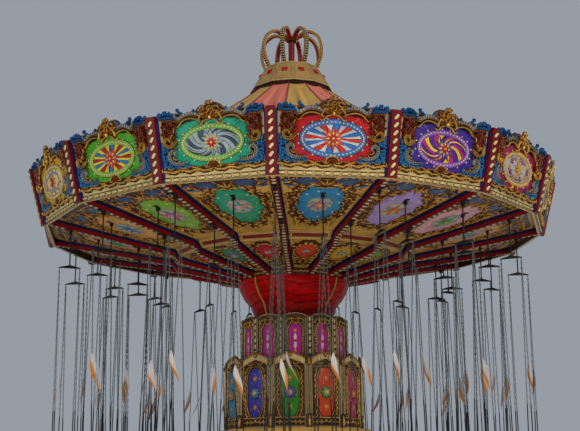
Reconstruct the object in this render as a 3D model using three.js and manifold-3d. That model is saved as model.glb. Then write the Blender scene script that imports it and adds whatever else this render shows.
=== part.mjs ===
// A chair swing ride: a fixed tower with a lifting, tilting and turning canopy and three rings of chairs.
// Millimetres, +Z up. The origin is the middle of the tower's foot, on the ground.
// Azimuth 0 looks along -Y, the side seen in the usual view, and grows towards +X.
import * as THREE from 'three';
import { mergeVertices } from 'three/addons/utils/BufferGeometryUtils.js';
import Module from 'manifold-3d';

const wasm = await Module();
wasm.setup();

// Shared
const GAP = 0.3; // between pieces that touch
const BURY = 20; // how far a joined piece runs into its neighbour
const CANOPY_SIDES = 16;
const TOWER_SIDES = 12;
const CANOPY_TURN = -3.93; // azimuth of one canopy corner, in degrees
const LOWER_TURN = 11; // a corner of the lower drum
const UPPER_TURN = 16; // a corner of the upper drum
const CROWN_TURN = 2; // a corner of the crown band
const ARCH_TURN = 28; // one of the crown's arches
const ARCH_COUNT = 8;

// Canopy: radii are to the corners
const RIM_RADIUS = 6000;
const RIM_FLARE = 330;
const RIM_FOOT = 5960;
const RIM_HEAD = 7190;
const BOARD_THICKNESS = 50;
const BOARD_SILL = 240; // upright inner face that the beams and the soffit meet
const CREST_HEIGHT = 310;
const MULLION_WIDTH = 200;
const MULLION_DEPTH = 140;
const MULLION_RADIUS = RIM_RADIUS + 25; // of the mullion's middle, at its foot
const MULLION_RISE = 70;
const CREST_THICKNESS = 36;
const SOFFIT_THICKNESS = 30;
const SOFFIT_INNER_RADIUS = 1300;
const SOFFIT_INNER_HEIGHT = 5050;
const RISER_INNER_RADIUS = 2860;
const RISER_OUTER_RADIUS = 2970;
const RISER_FOOT = 5395;
const RISER_HEAD = 5550;
const SOFFIT_SLOPE = 0.1976; // of the outer soffit
const BEAM_WIDTH = 130;
const BEAM_DEPTH = 150;
const ROOF_EDGE_HEIGHT = 6950;
const ROOF_THICKNESS = 20;
const ROOF_TOP_RADIUS = 940;
const ROOF_TOP_HEIGHT = 9760;

// Hub, mast and tilting head
const HUB_RADIUS = 1290;
const HUB_FOOT = 4880;
const HUB_MOUTH_RADIUS = 1000;
const HUB_BORE_RADIUS = 262;
const HUB_BORE_FOOT = 5320;
const HUB_BORE_HEAD = 5880;
const HUB_NECK_RADIUS = 420;
const HUB_NECK_HEIGHT = 5500;
const POST_RADIUS = 150;
const POST_FOOT = 6100;
const ROOF_RING_DEPTH = 60;
const ROOF_RING_CONE = 200; // of the cone that carries the ring from the post
const TILT_HEIGHT = 5050;
const TRUNNION_RADIUS = 70;
const HEAD_BLOCK = [560, 480, 400];
const CHEEK_THICKNESS = 80;
const CHEEK_DEPTH = 400;
const CHEEK_HEAD = 5150;
const MAST_RADIUS = 480;
const MAST_HEAD = 4700;
const SLEEVE_RADIUS = 600;
const SLEEVE_BORE_RADIUS = 500;
const SLEEVE_HEAD = 3400;

// Tower
const PLINTH_HEIGHT = 1350;
const PLINTH_RADIUS = 1760;
const PLINTH_FOOT_RADIUS = 1950;
const PLINTH_CORNICE_RADIUS = 1850;
const MAST_SEAT = 100;
const LOWER_RADIUS = 1640;
const LOWER_VALLEY = 2885;
const LOWER_APEX = 3080;
const UPPER_RADIUS = 1280;
const UPPER_FOOT = 1450;
const UPPER_VALLEY = 3900;
const UPPER_CREST = 95;
const DRUM_THICKNESS = 55;
const DRUM_DECK_HEIGHT = 3560;
const DRUM_DECK_THICKNESS = 40;
const PILASTER_WIDTH = 150;
const PILASTER_DEPTH = 60;
const PILASTER_PROUD = 20; // beyond the drum's corner
const LOWER_PILASTER_RISE = 60; // above the drum's valleys
const UPPER_PILASTER_RISE = 40;
const UPPER_PILASTER_LENGTH = 900; // below the valleys
const CREST_ROOT = 60; // the part of a crest that overlaps the wall
const CREST_INSET = 5; // of a crest's face behind the wall's

// Crown
const BAND_FOOT = 9790;
const BAND_HEAD = 10410;
const BAND_FOOT_RADIUS = 1060;
const BAND_HEAD_RADIUS = 690;
const BAND_THICKNESS = 30;
const ARCH_WIDTH = 120;
const ARCH_THICKNESS = 84; // with the bulbs on its outer face
const CROWN_POST_RADIUS = 80;
const CROWN_POST_HEAD = 11250;
const CROWN_COLLAR_RADIUS = 130;
const CROWN_COLLAR_HEIGHT = 60;

// Chairs: each ring's radius, and whether it hangs from the beams or from the panels between them
const RINGS = [
  { name: 'outer', radius: 5420, onBeam: true },
  { name: 'middle', radius: 4820, onBeam: false },
  { name: 'inner', radius: 3830, onBeam: true },
];
const BRACKET_DROP = 40; // the bracket's height under the face that carries it
const BRACKET_WIDTH = 60;
const EYE_RADIUS = 24;
const ROD_LENGTH = 830;
const ROD_WIDTH = 22;
const SPREADER_LENGTH = 500;
const SPREADER_WIDTH = 30;
const CHAIN_RADIUS = 7;
const SEAT_HEIGHT = 550; // top of the seat pan above the ground
const SEAT_WIDTH = 460;
const SEAT_LENGTH = 400;
const SEAT_SHELL = 16;
const SEAT_BACK = 420;
const SEAT_SIDE = 230;
const CHAIN_DROP = 20; // of a chain's foot under the edge that it holds
const CHAIN_INSET = 30; // of the front chains behind the seat's front
const BAR_HEIGHT = 205; // the safety bar above the seat pan
const BAR_WIDTH = 20;

const degrees = (angle) => (angle * Math.PI) / 180;
const halfSide = (sides) => Math.PI / sides;
const soffitHeight = (radius) => RISER_HEAD + (radius - RISER_OUTER_RADIUS) * SOFFIT_SLOPE;

// A point at a radius, an azimuth in degrees and a height.
function polar(radius, azimuth, height) {
  const angle = degrees(azimuth);
  return new THREE.Vector3(radius * Math.sin(angle), -radius * Math.cos(angle), height);
}

// A closed geometry as a solid that can be joined and cut.
function solid(geometry) {
  const bare = geometry.index ? geometry.clone() : geometry;
  bare.deleteAttribute('normal');
  bare.deleteAttribute('uv');
  const merged = mergeVertices(bare, 1e-3);
  return new wasm.Manifold(
    new wasm.Mesh({
      numProp: 3,
      vertProperties: new Float32Array(merged.attributes.position.array),
      triVerts: new Uint32Array(merged.index.array),
    }),
  );
}

// A solid as a geometry again.
function geometryOf(body) {
  const mesh = body.getMesh();
  const geometry = new THREE.BufferGeometry();
  geometry.setAttribute('position', new THREE.BufferAttribute(new Float32Array(mesh.vertProperties), 3));
  geometry.setIndex(new THREE.BufferAttribute(new Uint32Array(mesh.triVerts), 1));
  geometry.computeVertexNormals();
  return geometry;
}

function join(bodies) {
  return bodies.reduce((whole, body) => whole.add(body));
}

// A profile of [radius, height] pairs, anticlockwise, turned about Z with flat sides. The first corner is at turn.
function turned(profile, sides, turn) {
  const closed = profile[0][0] === 0 ? profile : [...profile, profile[0]];
  const points = closed.map(([radius, height]) => new THREE.Vector2(radius, height));
  const geometry = new THREE.LatheGeometry(points, sides, degrees(turn));
  return geometry.rotateX(Math.PI / 2);
}

// A box by its centre and size, turned about Z.
function block(centre, size, azimuth = 0) {
  const geometry = new THREE.BoxGeometry(...size).rotateZ(degrees(azimuth));
  return geometry.translate(...centre.toArray());
}

// A straight bar between two points. Its width lies across the given direction of its depth.
function bar(start, end, width, depth, depthDirection) {
  const along = new THREE.Vector3().subVectors(end, start);
  const geometry = new THREE.BoxGeometry(width, depth, along.length());
  const zAxis = along.clone().normalize();
  const xAxis = new THREE.Vector3().crossVectors(depthDirection, zAxis).normalize();
  const yAxis = new THREE.Vector3().crossVectors(zAxis, xAxis);
  const placed = new THREE.Matrix4().makeBasis(xAxis, yAxis, zAxis);
  placed.setPosition(start.clone().add(end).multiplyScalar(0.5));
  return geometry.applyMatrix4(placed);
}

// An outline in the plane of radius and height, given thickness across it, at an azimuth.
function radialPlate(outline, width, azimuth) {
  const shape = new THREE.Shape(outline.map(([radius, height]) => new THREE.Vector2(radius, height)));
  const geometry = new THREE.ExtrudeGeometry(shape, { depth: width, bevelEnabled: false });
  geometry.translate(0, 0, -width / 2);
  // shape X becomes the radius along -Y, shape Y becomes Z
  geometry.rotateX(Math.PI / 2);
  return geometry.rotateZ(degrees(azimuth - 90));
}

// An outline of [across, up] pairs on one flat side, leaning outwards, set on the side's middle.
function sidePlate(outline, thickness, apothem, height, lean, azimuth) {
  const shape = new THREE.Shape(outline.map(([across, up]) => new THREE.Vector2(across, up)));
  const geometry = new THREE.ExtrudeGeometry(shape, { depth: thickness, bevelEnabled: false });
  geometry.rotateX(Math.PI / 2 + lean);
  geometry.translate(0, -apothem + thickness, height);
  return geometry.rotateZ(degrees(azimuth));
}

// A sheet of even thickness above a line of [radius, height] pairs that runs outwards.
function sheetProfile(line, thickness) {
  const above = line.map(([radius, height]) => [radius, height + thickness]).reverse();
  return [...line, ...above];
}

const canopyAzimuths = Array.from({ length: CANOPY_SIDES }, (_, i) => CANOPY_TURN + (i * 360) / CANOPY_SIDES);
const middleOf = (azimuth, sides) => azimuth + 180 / sides;

// The block that a chair's hinge hangs from, under a face at the given height.
function chairBracket(radius, azimuth, faceHeight, bury) {
  const height = BRACKET_DROP + bury;
  const centre = polar(radius, azimuth, faceHeight + bury - height / 2);
  return solid(block(centre, [BRACKET_WIDTH, BRACKET_WIDTH, height], azimuth));
}

// Fixed tower

function plinth() {
  const bore = SLEEVE_RADIUS + 2 * GAP;
  return turned(
    [
      [0, 0],
      [PLINTH_FOOT_RADIUS, 0],
      [PLINTH_FOOT_RADIUS, 60],
      [PLINTH_RADIUS, 60],
      [PLINTH_RADIUS, PLINTH_HEIGHT - 170],
      [PLINTH_CORNICE_RADIUS, PLINTH_HEIGHT - 100],
      [PLINTH_CORNICE_RADIUS, PLINTH_HEIGHT],
      [bore, PLINTH_HEIGHT],
      [bore, MAST_SEAT],
      [0, MAST_SEAT],
    ],
    TOWER_SIDES,
    LOWER_TURN,
  );
}

function mastSleeve() {
  return turned(
    [
      [SLEEVE_BORE_RADIUS, MAST_SEAT + GAP],
      [SLEEVE_RADIUS, MAST_SEAT + GAP],
      [SLEEVE_RADIUS, SLEEVE_HEAD],
      [SLEEVE_BORE_RADIUS, SLEEVE_HEAD],
    ],
    TOWER_SIDES,
    LOWER_TURN,
  );
}

// Posts at the corners of a drum.
function pilasters(radius, foot, head, turn) {
  return Array.from({ length: TOWER_SIDES }, (_, i) => {
    const azimuth = turn + (i * 360) / TOWER_SIDES;
    const centre = polar(radius - PILASTER_DEPTH / 2 + PILASTER_PROUD, azimuth, (foot + head) / 2);
    return solid(block(centre, [PILASTER_WIDTH, PILASTER_DEPTH, head - foot], azimuth));
  });
}

function drumWall(radius, foot, head, turn) {
  const inner = radius - DRUM_THICKNESS;
  const profile = [
    [inner, foot],
    [radius, foot],
    [radius, head],
    [inner, head],
  ];
  return solid(turned(profile, TOWER_SIDES, turn));
}

// A plate on each side of a drum, rising from its wall's top.
function drumCrests(outline, radius, height, turn) {
  const apothem = radius * Math.cos(halfSide(TOWER_SIDES));
  return Array.from({ length: TOWER_SIDES }, (_, i) => {
    const azimuth = middleOf(turn + (i * 360) / TOWER_SIDES, TOWER_SIDES);
    return solid(sidePlate(outline, DRUM_THICKNESS - 2 * CREST_INSET, apothem - CREST_INSET, height, 0, azimuth));
  });
}

function lowerDrum() {
  const foot = PLINTH_HEIGHT + GAP;
  const half = LOWER_RADIUS * Math.sin(halfSide(TOWER_SIDES)) - BURY;
  const gable = [
    [-half, -CREST_ROOT],
    [half, -CREST_ROOT],
    [half, 0],
    [0, LOWER_APEX - LOWER_VALLEY],
    [-half, 0],
  ];
  return geometryOf(
    join([
      drumWall(LOWER_RADIUS, foot, LOWER_VALLEY - BURY, LOWER_TURN),
      ...pilasters(LOWER_RADIUS, foot, LOWER_VALLEY + LOWER_PILASTER_RISE, LOWER_TURN),
      ...drumCrests(gable, LOWER_RADIUS, LOWER_VALLEY, LOWER_TURN),
    ]),
  );
}

// Lifting tower

function upperDrum() {
  const inner = UPPER_RADIUS - DRUM_THICKNESS;
  const deckBore = MAST_RADIUS + GAP;
  const postFoot = UPPER_VALLEY - UPPER_PILASTER_LENGTH;
  const deckHead = DRUM_DECK_HEIGHT + DRUM_DECK_THICKNESS;
  const profile = [
    [inner, UPPER_FOOT],
    [UPPER_RADIUS, UPPER_FOOT],
    [UPPER_RADIUS, UPPER_VALLEY],
    [inner, UPPER_VALLEY],
    [inner, deckHead],
    [deckBore, deckHead],
    [deckBore, DRUM_DECK_HEIGHT],
    [inner, DRUM_DECK_HEIGHT],
  ];
  const half = UPPER_RADIUS * Math.sin(halfSide(TOWER_SIDES)) - CREST_ROOT;
  const arch = [[half, -CREST_ROOT]];
  const steps = 6;
  for (let step = 0; step <= steps; step += 1) {
    const angle = (step * Math.PI) / steps;
    arch.push([half * Math.cos(angle), UPPER_CREST * Math.sin(angle)]);
  }
  arch.push([-half, -CREST_ROOT]);
  return geometryOf(
    join([
      solid(turned(profile, TOWER_SIDES, UPPER_TURN)),
      ...drumCrests(arch, UPPER_RADIUS, UPPER_VALLEY, UPPER_TURN),
      ...pilasters(UPPER_RADIUS, postFoot, UPPER_VALLEY + UPPER_PILASTER_RISE, UPPER_TURN),
    ]),
  );
}

function mast() {
  const column = [
    [0, MAST_SEAT + GAP],
    [MAST_RADIUS, MAST_SEAT + GAP],
    [MAST_RADIUS, MAST_HEAD],
    [0, MAST_HEAD],
  ];
  const across = HEAD_BLOCK[0] / 2 + GAP + CHEEK_THICKNESS / 2;
  const cheekFoot = MAST_HEAD - 10;
  const cheeks = [-1, 1].map((side) => {
    const centre = new THREE.Vector3(side * across, 0, (CHEEK_HEAD + cheekFoot) / 2);
    return solid(block(centre, [CHEEK_THICKNESS, CHEEK_DEPTH, CHEEK_HEAD - cheekFoot]));
  });
  const bore = (TRUNNION_RADIUS + GAP) / Math.cos(halfSide(CANOPY_SIDES));
  const hole = trunnion(bore, HEAD_BLOCK[0] + 4 * CHEEK_THICKNESS);
  return geometryOf(join([solid(turned(column, TOWER_SIDES, UPPER_TURN)), ...cheeks]).subtract(hole));
}

// A round bar along X through the tilt axis.
function trunnion(radius, length) {
  const geometry = new THREE.CylinderGeometry(radius, radius, length, CANOPY_SIDES);
  return solid(geometry.rotateZ(Math.PI / 2).translate(0, 0, TILT_HEIGHT));
}

function tiltHead() {
  const axleRadius = HUB_BORE_RADIUS * Math.cos(halfSide(CANOPY_SIDES)) - 3 * GAP;
  const axle = [
    [0, TILT_HEIGHT],
    [axleRadius, TILT_HEIGHT],
    [axleRadius, HUB_BORE_HEAD - GAP],
    [0, HUB_BORE_HEAD - GAP],
  ];
  return geometryOf(
    join([
      solid(block(new THREE.Vector3(0, 0, TILT_HEIGHT), HEAD_BLOCK)),
      trunnion(TRUNNION_RADIUS, HEAD_BLOCK[0] + 2 * CHEEK_THICKNESS),
      solid(turned(axle, CANOPY_SIDES, CANOPY_TURN)),
    ]),
  );
}

// Canopy

function hub() {
  const postHead = BAND_HEAD - BAND_THICKNESS - GAP;
  return turned(
    [
      [0, HUB_BORE_HEAD],
      [HUB_BORE_RADIUS, HUB_BORE_HEAD],
      [HUB_BORE_RADIUS, HUB_BORE_FOOT],
      [HUB_MOUTH_RADIUS, HUB_FOOT],
      [HUB_RADIUS, HUB_FOOT],
      [HUB_RADIUS, SOFFIT_INNER_HEIGHT - GAP],
      [HUB_NECK_RADIUS, HUB_NECK_HEIGHT],
      [POST_RADIUS, POST_FOOT],
      [POST_RADIUS, ROOF_TOP_HEIGHT - ROOF_RING_DEPTH - ROOF_RING_CONE],
      [ROOF_TOP_RADIUS, ROOF_TOP_HEIGHT - ROOF_RING_DEPTH],
      [ROOF_TOP_RADIUS, ROOF_TOP_HEIGHT],
      [POST_RADIUS, ROOF_TOP_HEIGHT],
      [POST_RADIUS, postHead],
      [0, postHead],
    ],
    CANOPY_SIDES,
    CANOPY_TURN,
  );
}

function beamFrame() {
  const halfTangent = (BEAM_WIDTH / 2) * Math.tan(halfSide(CANOPY_SIDES));
  const end = RIM_RADIUS - BOARD_THICKNESS - halfTangent - GAP;
  const head = [
    [SOFFIT_INNER_RADIUS - 120, SOFFIT_INNER_HEIGHT - 30],
    [SOFFIT_INNER_RADIUS, SOFFIT_INNER_HEIGHT],
    [RISER_INNER_RADIUS, RISER_FOOT],
    [RISER_OUTER_RADIUS, RISER_HEAD],
    [end, soffitHeight(end)],
  ];
  const top = head.map(([radius, height]) => [radius, height - GAP]).reverse();
  const under = head.map(([radius, height]) => [radius, height - BEAM_DEPTH]);
  const beams = canopyAzimuths.map((azimuth) => solid(radialPlate([...under, ...top], BEAM_WIDTH, azimuth)));
  const brackets = RINGS.filter((ring) => ring.onBeam).flatMap((ring) =>
    canopyAzimuths.map((azimuth) => chairBracket(ring.radius, azimuth, bracketFace(ring), BURY)),
  );
  return geometryOf(join([solid(hub()), ...beams, ...brackets]));
}

// The height of the face that carries a ring's brackets.
function bracketFace(ring) {
  const face = soffitHeight(ring.radius);
  return ring.onBeam ? face - BEAM_DEPTH : face;
}

// The radius at which a ring hangs. Between the beams it is measured square to the canopy's side.
function ringRadius(ring) {
  return ring.onBeam ? ring.radius : ring.radius * Math.cos(halfSide(CANOPY_SIDES));
}

function soffit() {
  const edge = RIM_RADIUS - BOARD_THICKNESS - GAP;
  const line = [
    [SOFFIT_INNER_RADIUS, SOFFIT_INNER_HEIGHT],
    [RISER_INNER_RADIUS, RISER_FOOT],
    [RISER_OUTER_RADIUS, RISER_HEAD],
    [edge, soffitHeight(edge)],
  ];
  const sheet = solid(turned(sheetProfile(line, SOFFIT_THICKNESS), CANOPY_SIDES, CANOPY_TURN));
  const brackets = RINGS.filter((ring) => !ring.onBeam).flatMap((ring) =>
    canopyAzimuths.map((azimuth) =>
      chairBracket(ringRadius(ring), middleOf(azimuth, CANOPY_SIDES), bracketFace(ring), SOFFIT_THICKNESS / 2),
    ),
  );
  return geometryOf(join([sheet, ...brackets]));
}

// One side's cresting: scrolls that rise to a shell in the middle.
function crestOutline() {
  const half = [
    [1130, -40],
    [1130, 40],
    [980, 100],
    [720, 110],
    [470, 60],
    [300, 130],
    [190, 250],
    [70, CREST_HEIGHT],
  ];
  const other = half.map(([across, up]) => [-across, up]).reverse();
  return [...half, ...other];
}

function rimBoards() {
  const innerFoot = RIM_RADIUS - BOARD_THICKNESS;
  const sillHead = RIM_FOOT + BOARD_SILL;
  const profile = [
    [innerFoot, RIM_FOOT],
    [RIM_RADIUS, RIM_FOOT],
    [RIM_RADIUS + RIM_FLARE, RIM_HEAD],
    [RIM_RADIUS + RIM_FLARE - BOARD_THICKNESS, RIM_HEAD],
    [innerFoot, sillHead],
  ];
  const squareness = Math.cos(halfSide(CANOPY_SIDES));
  const lean = Math.atan2(RIM_FLARE * squareness, RIM_HEAD - RIM_FOOT);
  const apothem = (RIM_RADIUS + RIM_FLARE) * squareness - CREST_INSET;
  const crests = canopyAzimuths.map((azimuth) =>
    solid(sidePlate(crestOutline(), CREST_THICKNESS, apothem, RIM_HEAD, -lean, middleOf(azimuth, CANOPY_SIDES))),
  );
  const rise = MULLION_RISE / (RIM_HEAD - RIM_FOOT);
  const mullions = canopyAzimuths.map((azimuth) => {
    const start = polar(MULLION_RADIUS, azimuth, RIM_FOOT);
    const end = polar(MULLION_RADIUS + RIM_FLARE * (1 + rise), azimuth, RIM_HEAD + MULLION_RISE);
    return solid(bar(start, end, MULLION_WIDTH, MULLION_DEPTH, polar(1, azimuth, 0)));
  });
  const ring = solid(turned(profile, CANOPY_SIDES, CANOPY_TURN));
  return geometryOf(join([ring, ...crests, ...mullions]));
}

function roof() {
  const rise = (ROOF_EDGE_HEIGHT - RIM_FOOT - BOARD_SILL) / (RIM_HEAD - RIM_FOOT - BOARD_SILL);
  const edge = RIM_RADIUS - BOARD_THICKNESS + RIM_FLARE * rise - 4 * GAP;
  const line = [
    [ROOF_TOP_RADIUS + GAP, ROOF_TOP_HEIGHT],
    [1600, 9250],
    [2700, 8500],
    [4300, 7700],
    [edge, ROOF_EDGE_HEIGHT],
  ];
  return turned(sheetProfile(line, ROOF_THICKNESS), CANOPY_SIDES, CANOPY_TURN);
}

function skirt() {
  const head = HUB_FOOT - GAP;
  const outer = [
    [960, 3950],
    [1000, 4150],
    [1080, 4330],
    [1200, 4470],
    [1330, 4720],
    [1360, head],
  ];
  const inner = [
    [1260, head],
    [1290, 4740],
    [1165, 4490],
    [1048, 4350],
    [970, 4160],
    [930, 3950],
  ];
  return turned([...outer, ...inner], CANOPY_SIDES, CANOPY_TURN);
}

// One arch of the crown: it leaves the band, bulges out and dips to the post.
function crownArch(azimuth) {
  const path = new THREE.CatmullRomCurve3(
    [
      [640, BAND_HEAD - 2 * BURY],
      [770, 10650],
      [810, 10950],
      [735, 11230],
      [590, 11375],
      [440, 11425],
      [280, 11385],
      [150, 11290],
      [60, 11220],
    ].map(([radius, height]) => new THREE.Vector3(radius, height, 0)),
  );
  const steps = 9;
  const centre = path.getPoints(steps);
  const outer = [];
  const inner = [];
  centre.forEach((point, i) => {
    const along = path.getTangent(i / steps);
    const side = new THREE.Vector3(along.y, -along.x, 0).multiplyScalar(ARCH_THICKNESS / 2);
    outer.push([point.x + side.x, point.y + side.y]);
    inner.push([point.x - side.x, point.y - side.y]);
  });
  return solid(radialPlate([...outer, ...inner.reverse()], ARCH_WIDTH, azimuth));
}

function crown() {
  const collarFoot = CROWN_POST_HEAD - CROWN_COLLAR_HEIGHT;
  const profile = [
    [0, BAND_HEAD - BAND_THICKNESS],
    [BAND_HEAD_RADIUS - BAND_THICKNESS, BAND_HEAD - BAND_THICKNESS],
    [BAND_FOOT_RADIUS - BAND_THICKNESS, BAND_FOOT],
    [BAND_FOOT_RADIUS, BAND_FOOT],
    [BAND_HEAD_RADIUS, BAND_HEAD],
    [CROWN_POST_RADIUS, BAND_HEAD],
    [CROWN_POST_RADIUS, collarFoot],
    [CROWN_COLLAR_RADIUS, collarFoot],
    [CROWN_COLLAR_RADIUS, CROWN_POST_HEAD],
    [0, CROWN_POST_HEAD],
  ];
  const arches = Array.from({ length: ARCH_COUNT }, (_, i) => crownArch(ARCH_TURN + (i * 360) / ARCH_COUNT));
  return geometryOf(join([solid(turned(profile, TOWER_SIDES, CROWN_TURN)), ...arches]));
}

// A three-sided bar that stands for a chain, from the spreader to the seat.
function chainBar(head, foot) {
  const chain = new THREE.CylinderGeometry(CHAIN_RADIUS, CHAIN_RADIUS, head.distanceTo(foot), 3);
  const direction = head.clone().sub(foot).normalize();
  chain.applyQuaternion(new THREE.Quaternion().setFromUnitVectors(new THREE.Vector3(0, 1, 0), direction));
  return chain.translate(...head.clone().add(foot).multiplyScalar(0.5).toArray());
}

// The seat's pan and sides: one U section, carried along X.
function seatShell(pan) {
  const half = SEAT_WIDTH / 2;
  const inner = half - SEAT_SHELL;
  const section = new THREE.Shape(
    [
      [-half, -SEAT_SHELL],
      [half, -SEAT_SHELL],
      [half, SEAT_SIDE],
      [inner, SEAT_SIDE],
      [inner, 0],
      [-inner, 0],
      [-inner, SEAT_SIDE],
      [-half, SEAT_SIDE],
    ].map(([across, up]) => new THREE.Vector2(across, up)),
  );
  const geometry = new THREE.ExtrudeGeometry(section, { depth: SEAT_LENGTH, bevelEnabled: false });
  geometry.rotateX(Math.PI / 2).rotateZ(Math.PI / 2);
  return geometry.translate(-SEAT_LENGTH / 2, 0, pan);
}

// A chair, with its hinge at the local origin, its width along Y and facing +X.
function chair(pivotHeight) {
  const at = (x, y, z) => new THREE.Vector3(x, y, z);
  const pan = SEAT_HEIGHT - pivotHeight;
  const halfLength = SEAT_LENGTH / 2;
  const inner = SEAT_WIDTH - 2 * SEAT_SHELL;
  const eye = new THREE.CylinderGeometry(EYE_RADIUS, EYE_RADIUS, BRACKET_WIDTH, 6).rotateZ(Math.PI / 2);
  const backHeight = SEAT_BACK + SEAT_SHELL;
  const backX = -halfLength - SEAT_SHELL / 2;
  const pieces = [
    eye,
    block(at(0, 0, -ROD_LENGTH / 2), [ROD_WIDTH, ROD_WIDTH, ROD_LENGTH]),
    block(at(0, 0, -ROD_LENGTH), [SPREADER_WIDTH, SPREADER_LENGTH, SPREADER_WIDTH]),
    seatShell(pan),
    block(at(backX, 0, pan - SEAT_SHELL + backHeight / 2), [SEAT_SHELL, SEAT_WIDTH, backHeight]),
    block(at(halfLength - BAR_WIDTH, 0, pan + BAR_HEIGHT), [BAR_WIDTH, inner + SEAT_SHELL / 2, BAR_WIDTH]),
  ];
  for (const side of [-1, 1]) {
    const foot = side * (SEAT_WIDTH - SEAT_SHELL) * 0.5;
    const head = side * (SPREADER_LENGTH / 2 - CHAIN_DROP);
    const front = at(halfLength - CHAIN_INSET, foot, pan + SEAT_SIDE - CHAIN_DROP);
    const rear = at(backX, foot, pan + SEAT_BACK - CHAIN_DROP);
    pieces.push(chainBar(at(CHAIN_RADIUS + 1, head, -ROD_LENGTH), front));
    pieces.push(chainBar(at(-CHAIN_RADIUS - 1, head, -ROD_LENGTH), rear));
  }
  return geometryOf(join(pieces.map(solid)));
}

// Materials

function paint(color, roughness = 0.5, metalness = 0) {
  return new THREE.MeshStandardMaterial({ color, roughness, metalness });
}

const cream = paint(0xd9c187);
const red = paint(0x9c1620);
const gilt = paint(0xa8782c, 0.4, 0.4);
const steel = paint(0x55585c, 0.45, 0.8);
const vinyl = paint(0xa31218, 0.45);
const canvas = paint(0xd8b98a, 0.8);
const chairPaint = paint(0x2a3350, 0.5);

// The ride

const ride = new THREE.Group();

function addPiece(name, geometry, material, parent = ride) {
  const mesh = new THREE.Mesh(geometry, material);
  mesh.name = name;
  parent.add(mesh);
  return mesh;
}

addPiece('base_plinth', plinth(), cream);
addPiece('mast_sleeve', mastSleeve(), steel);
addPiece('lower_drum', lowerDrum(), gilt);
addPiece('upper_drum', upperDrum(), gilt);
addPiece('lifting_mast', mast(), steel);
addPiece('tilt_head', tiltHead(), steel);
addPiece('beam_frame', beamFrame(), red);
addPiece('soffit_panels', soffit(), cream);
addPiece('rim_boards', rimBoards(), cream);
addPiece('roof_canvas', roof(), canvas);
addPiece('tower_skirt', skirt(), vinyl);
addPiece('crown', crown(), cream);

for (const ring of RINGS) {
  const pivotHeight = bracketFace(ring) - BRACKET_DROP - EYE_RADIUS - GAP;
  const geometry = chair(pivotHeight);
  canopyAzimuths.forEach((corner, i) => {
    const azimuth = ring.onBeam ? corner : middleOf(corner, CANOPY_SIDES);
    const number = String(i + 1).padStart(2, '0');
    const mesh = addPiece(`chair_${ring.name}_${number}`, geometry, chairPaint);
    mesh.position.copy(polar(ringRadius(ring), azimuth, pivotHeight));
    mesh.rotation.z = degrees(azimuth);
  });
}

export default ride;
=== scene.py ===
"""Chair swing ride: carving, paint, lamps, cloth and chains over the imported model, in metres, +Z up.

Azimuth 0 looks along -Y, towards the viewer, and grows towards +X. Each flat side of the ride has its own
coordinates: u along the side to the right, v up it and h out of it. A carving is worked out once in these
coordinates and then placed on every side.
"""
import math

import bmesh
import bpy
import mathutils
import numpy as np
from bpy.props import FloatProperty, FloatVectorProperty, PointerProperty
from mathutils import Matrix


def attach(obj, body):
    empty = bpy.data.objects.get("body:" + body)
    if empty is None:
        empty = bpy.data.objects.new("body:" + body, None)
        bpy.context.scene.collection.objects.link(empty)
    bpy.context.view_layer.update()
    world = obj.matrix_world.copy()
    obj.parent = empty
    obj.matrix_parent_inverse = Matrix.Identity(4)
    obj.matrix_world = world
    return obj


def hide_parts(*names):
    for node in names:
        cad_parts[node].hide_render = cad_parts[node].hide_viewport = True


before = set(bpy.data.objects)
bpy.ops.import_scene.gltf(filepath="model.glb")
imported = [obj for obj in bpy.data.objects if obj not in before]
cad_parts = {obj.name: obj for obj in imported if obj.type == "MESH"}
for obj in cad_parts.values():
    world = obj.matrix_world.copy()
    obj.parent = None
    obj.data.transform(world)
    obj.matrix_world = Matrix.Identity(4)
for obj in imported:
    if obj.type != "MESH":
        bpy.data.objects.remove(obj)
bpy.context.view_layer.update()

bl_info = {
    "name": "Chair Swing Ride",
    "version": (1, 0, 0),
    "blender": (4, 5, 0),
    "location": "View3D > Sidebar > Swing Ride",
    "description": "Makes the carved, painted and cloth surfaces of a chair swing ride",
    "category": "Add Mesh",
}

# Sides and turns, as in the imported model
CANOPY_SIDES = 16
TOWER_SIDES = 12
CANOPY_TURN = -3.93
LOWER_TURN = 11.0
UPPER_TURN = 16.0
CROWN_TURN = 2.0
ARCH_TURN = 28.0
ARCH_COUNT = 8

# Canopy, radii to the corners
RIM_RADIUS = 6.0
RIM_FLARE = 0.33
RIM_FOOT = 5.96
RIM_HEAD = 7.19
MULLION_WIDTH = 0.2
MULLION_RADIUS = 6.025
MULLION_DEPTH = 0.14
SOFFIT_INNER = (1.3, 5.05)
RISER_INNER = (2.86, 5.395)
RISER_OUTER = (2.97, 5.55)
SOFFIT_SLOPE = 0.1976
BEAM_WIDTH = 0.13
BEAM_DEPTH = 0.15
RIB_PITCH = 0.15
RISER_PITCH = 0.063
HANGER_ROOM = 0.13
FRIEZE_RADIUS = 1.29
ROOF_LINE = ((0.9403, 9.76), (1.6, 9.25), (2.7, 8.5), (4.3, 7.7), (6.146, 6.95))
SKIRT_LINE = ((0.96, 3.95), (1.0, 4.15), (1.08, 4.33), (1.2, 4.47), (1.33, 4.72), (1.36, 4.8797))

# Tower
PLINTH_RADIUS = 1.76
PLINTH_FOOT = 0.061
LOWER_RADIUS = 1.64
LOWER_VALLEY = 2.885
UPPER_RADIUS = 1.28
PILASTER_PROUD = 0.02

# Crown
BAND_FOOT = (1.06, 9.79)
BAND_HEAD = (0.69, 10.41)
CROWN_TINT = np.array([0.72, 0.76, 0.98])
ARCH_PATH = (
    (0.64, 10.37), (0.77, 10.65), (0.81, 10.95), (0.735, 11.23), (0.59, 11.375),
    (0.44, 11.425), (0.28, 11.385), (0.15, 11.29), (0.06, 11.22),
)

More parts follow.
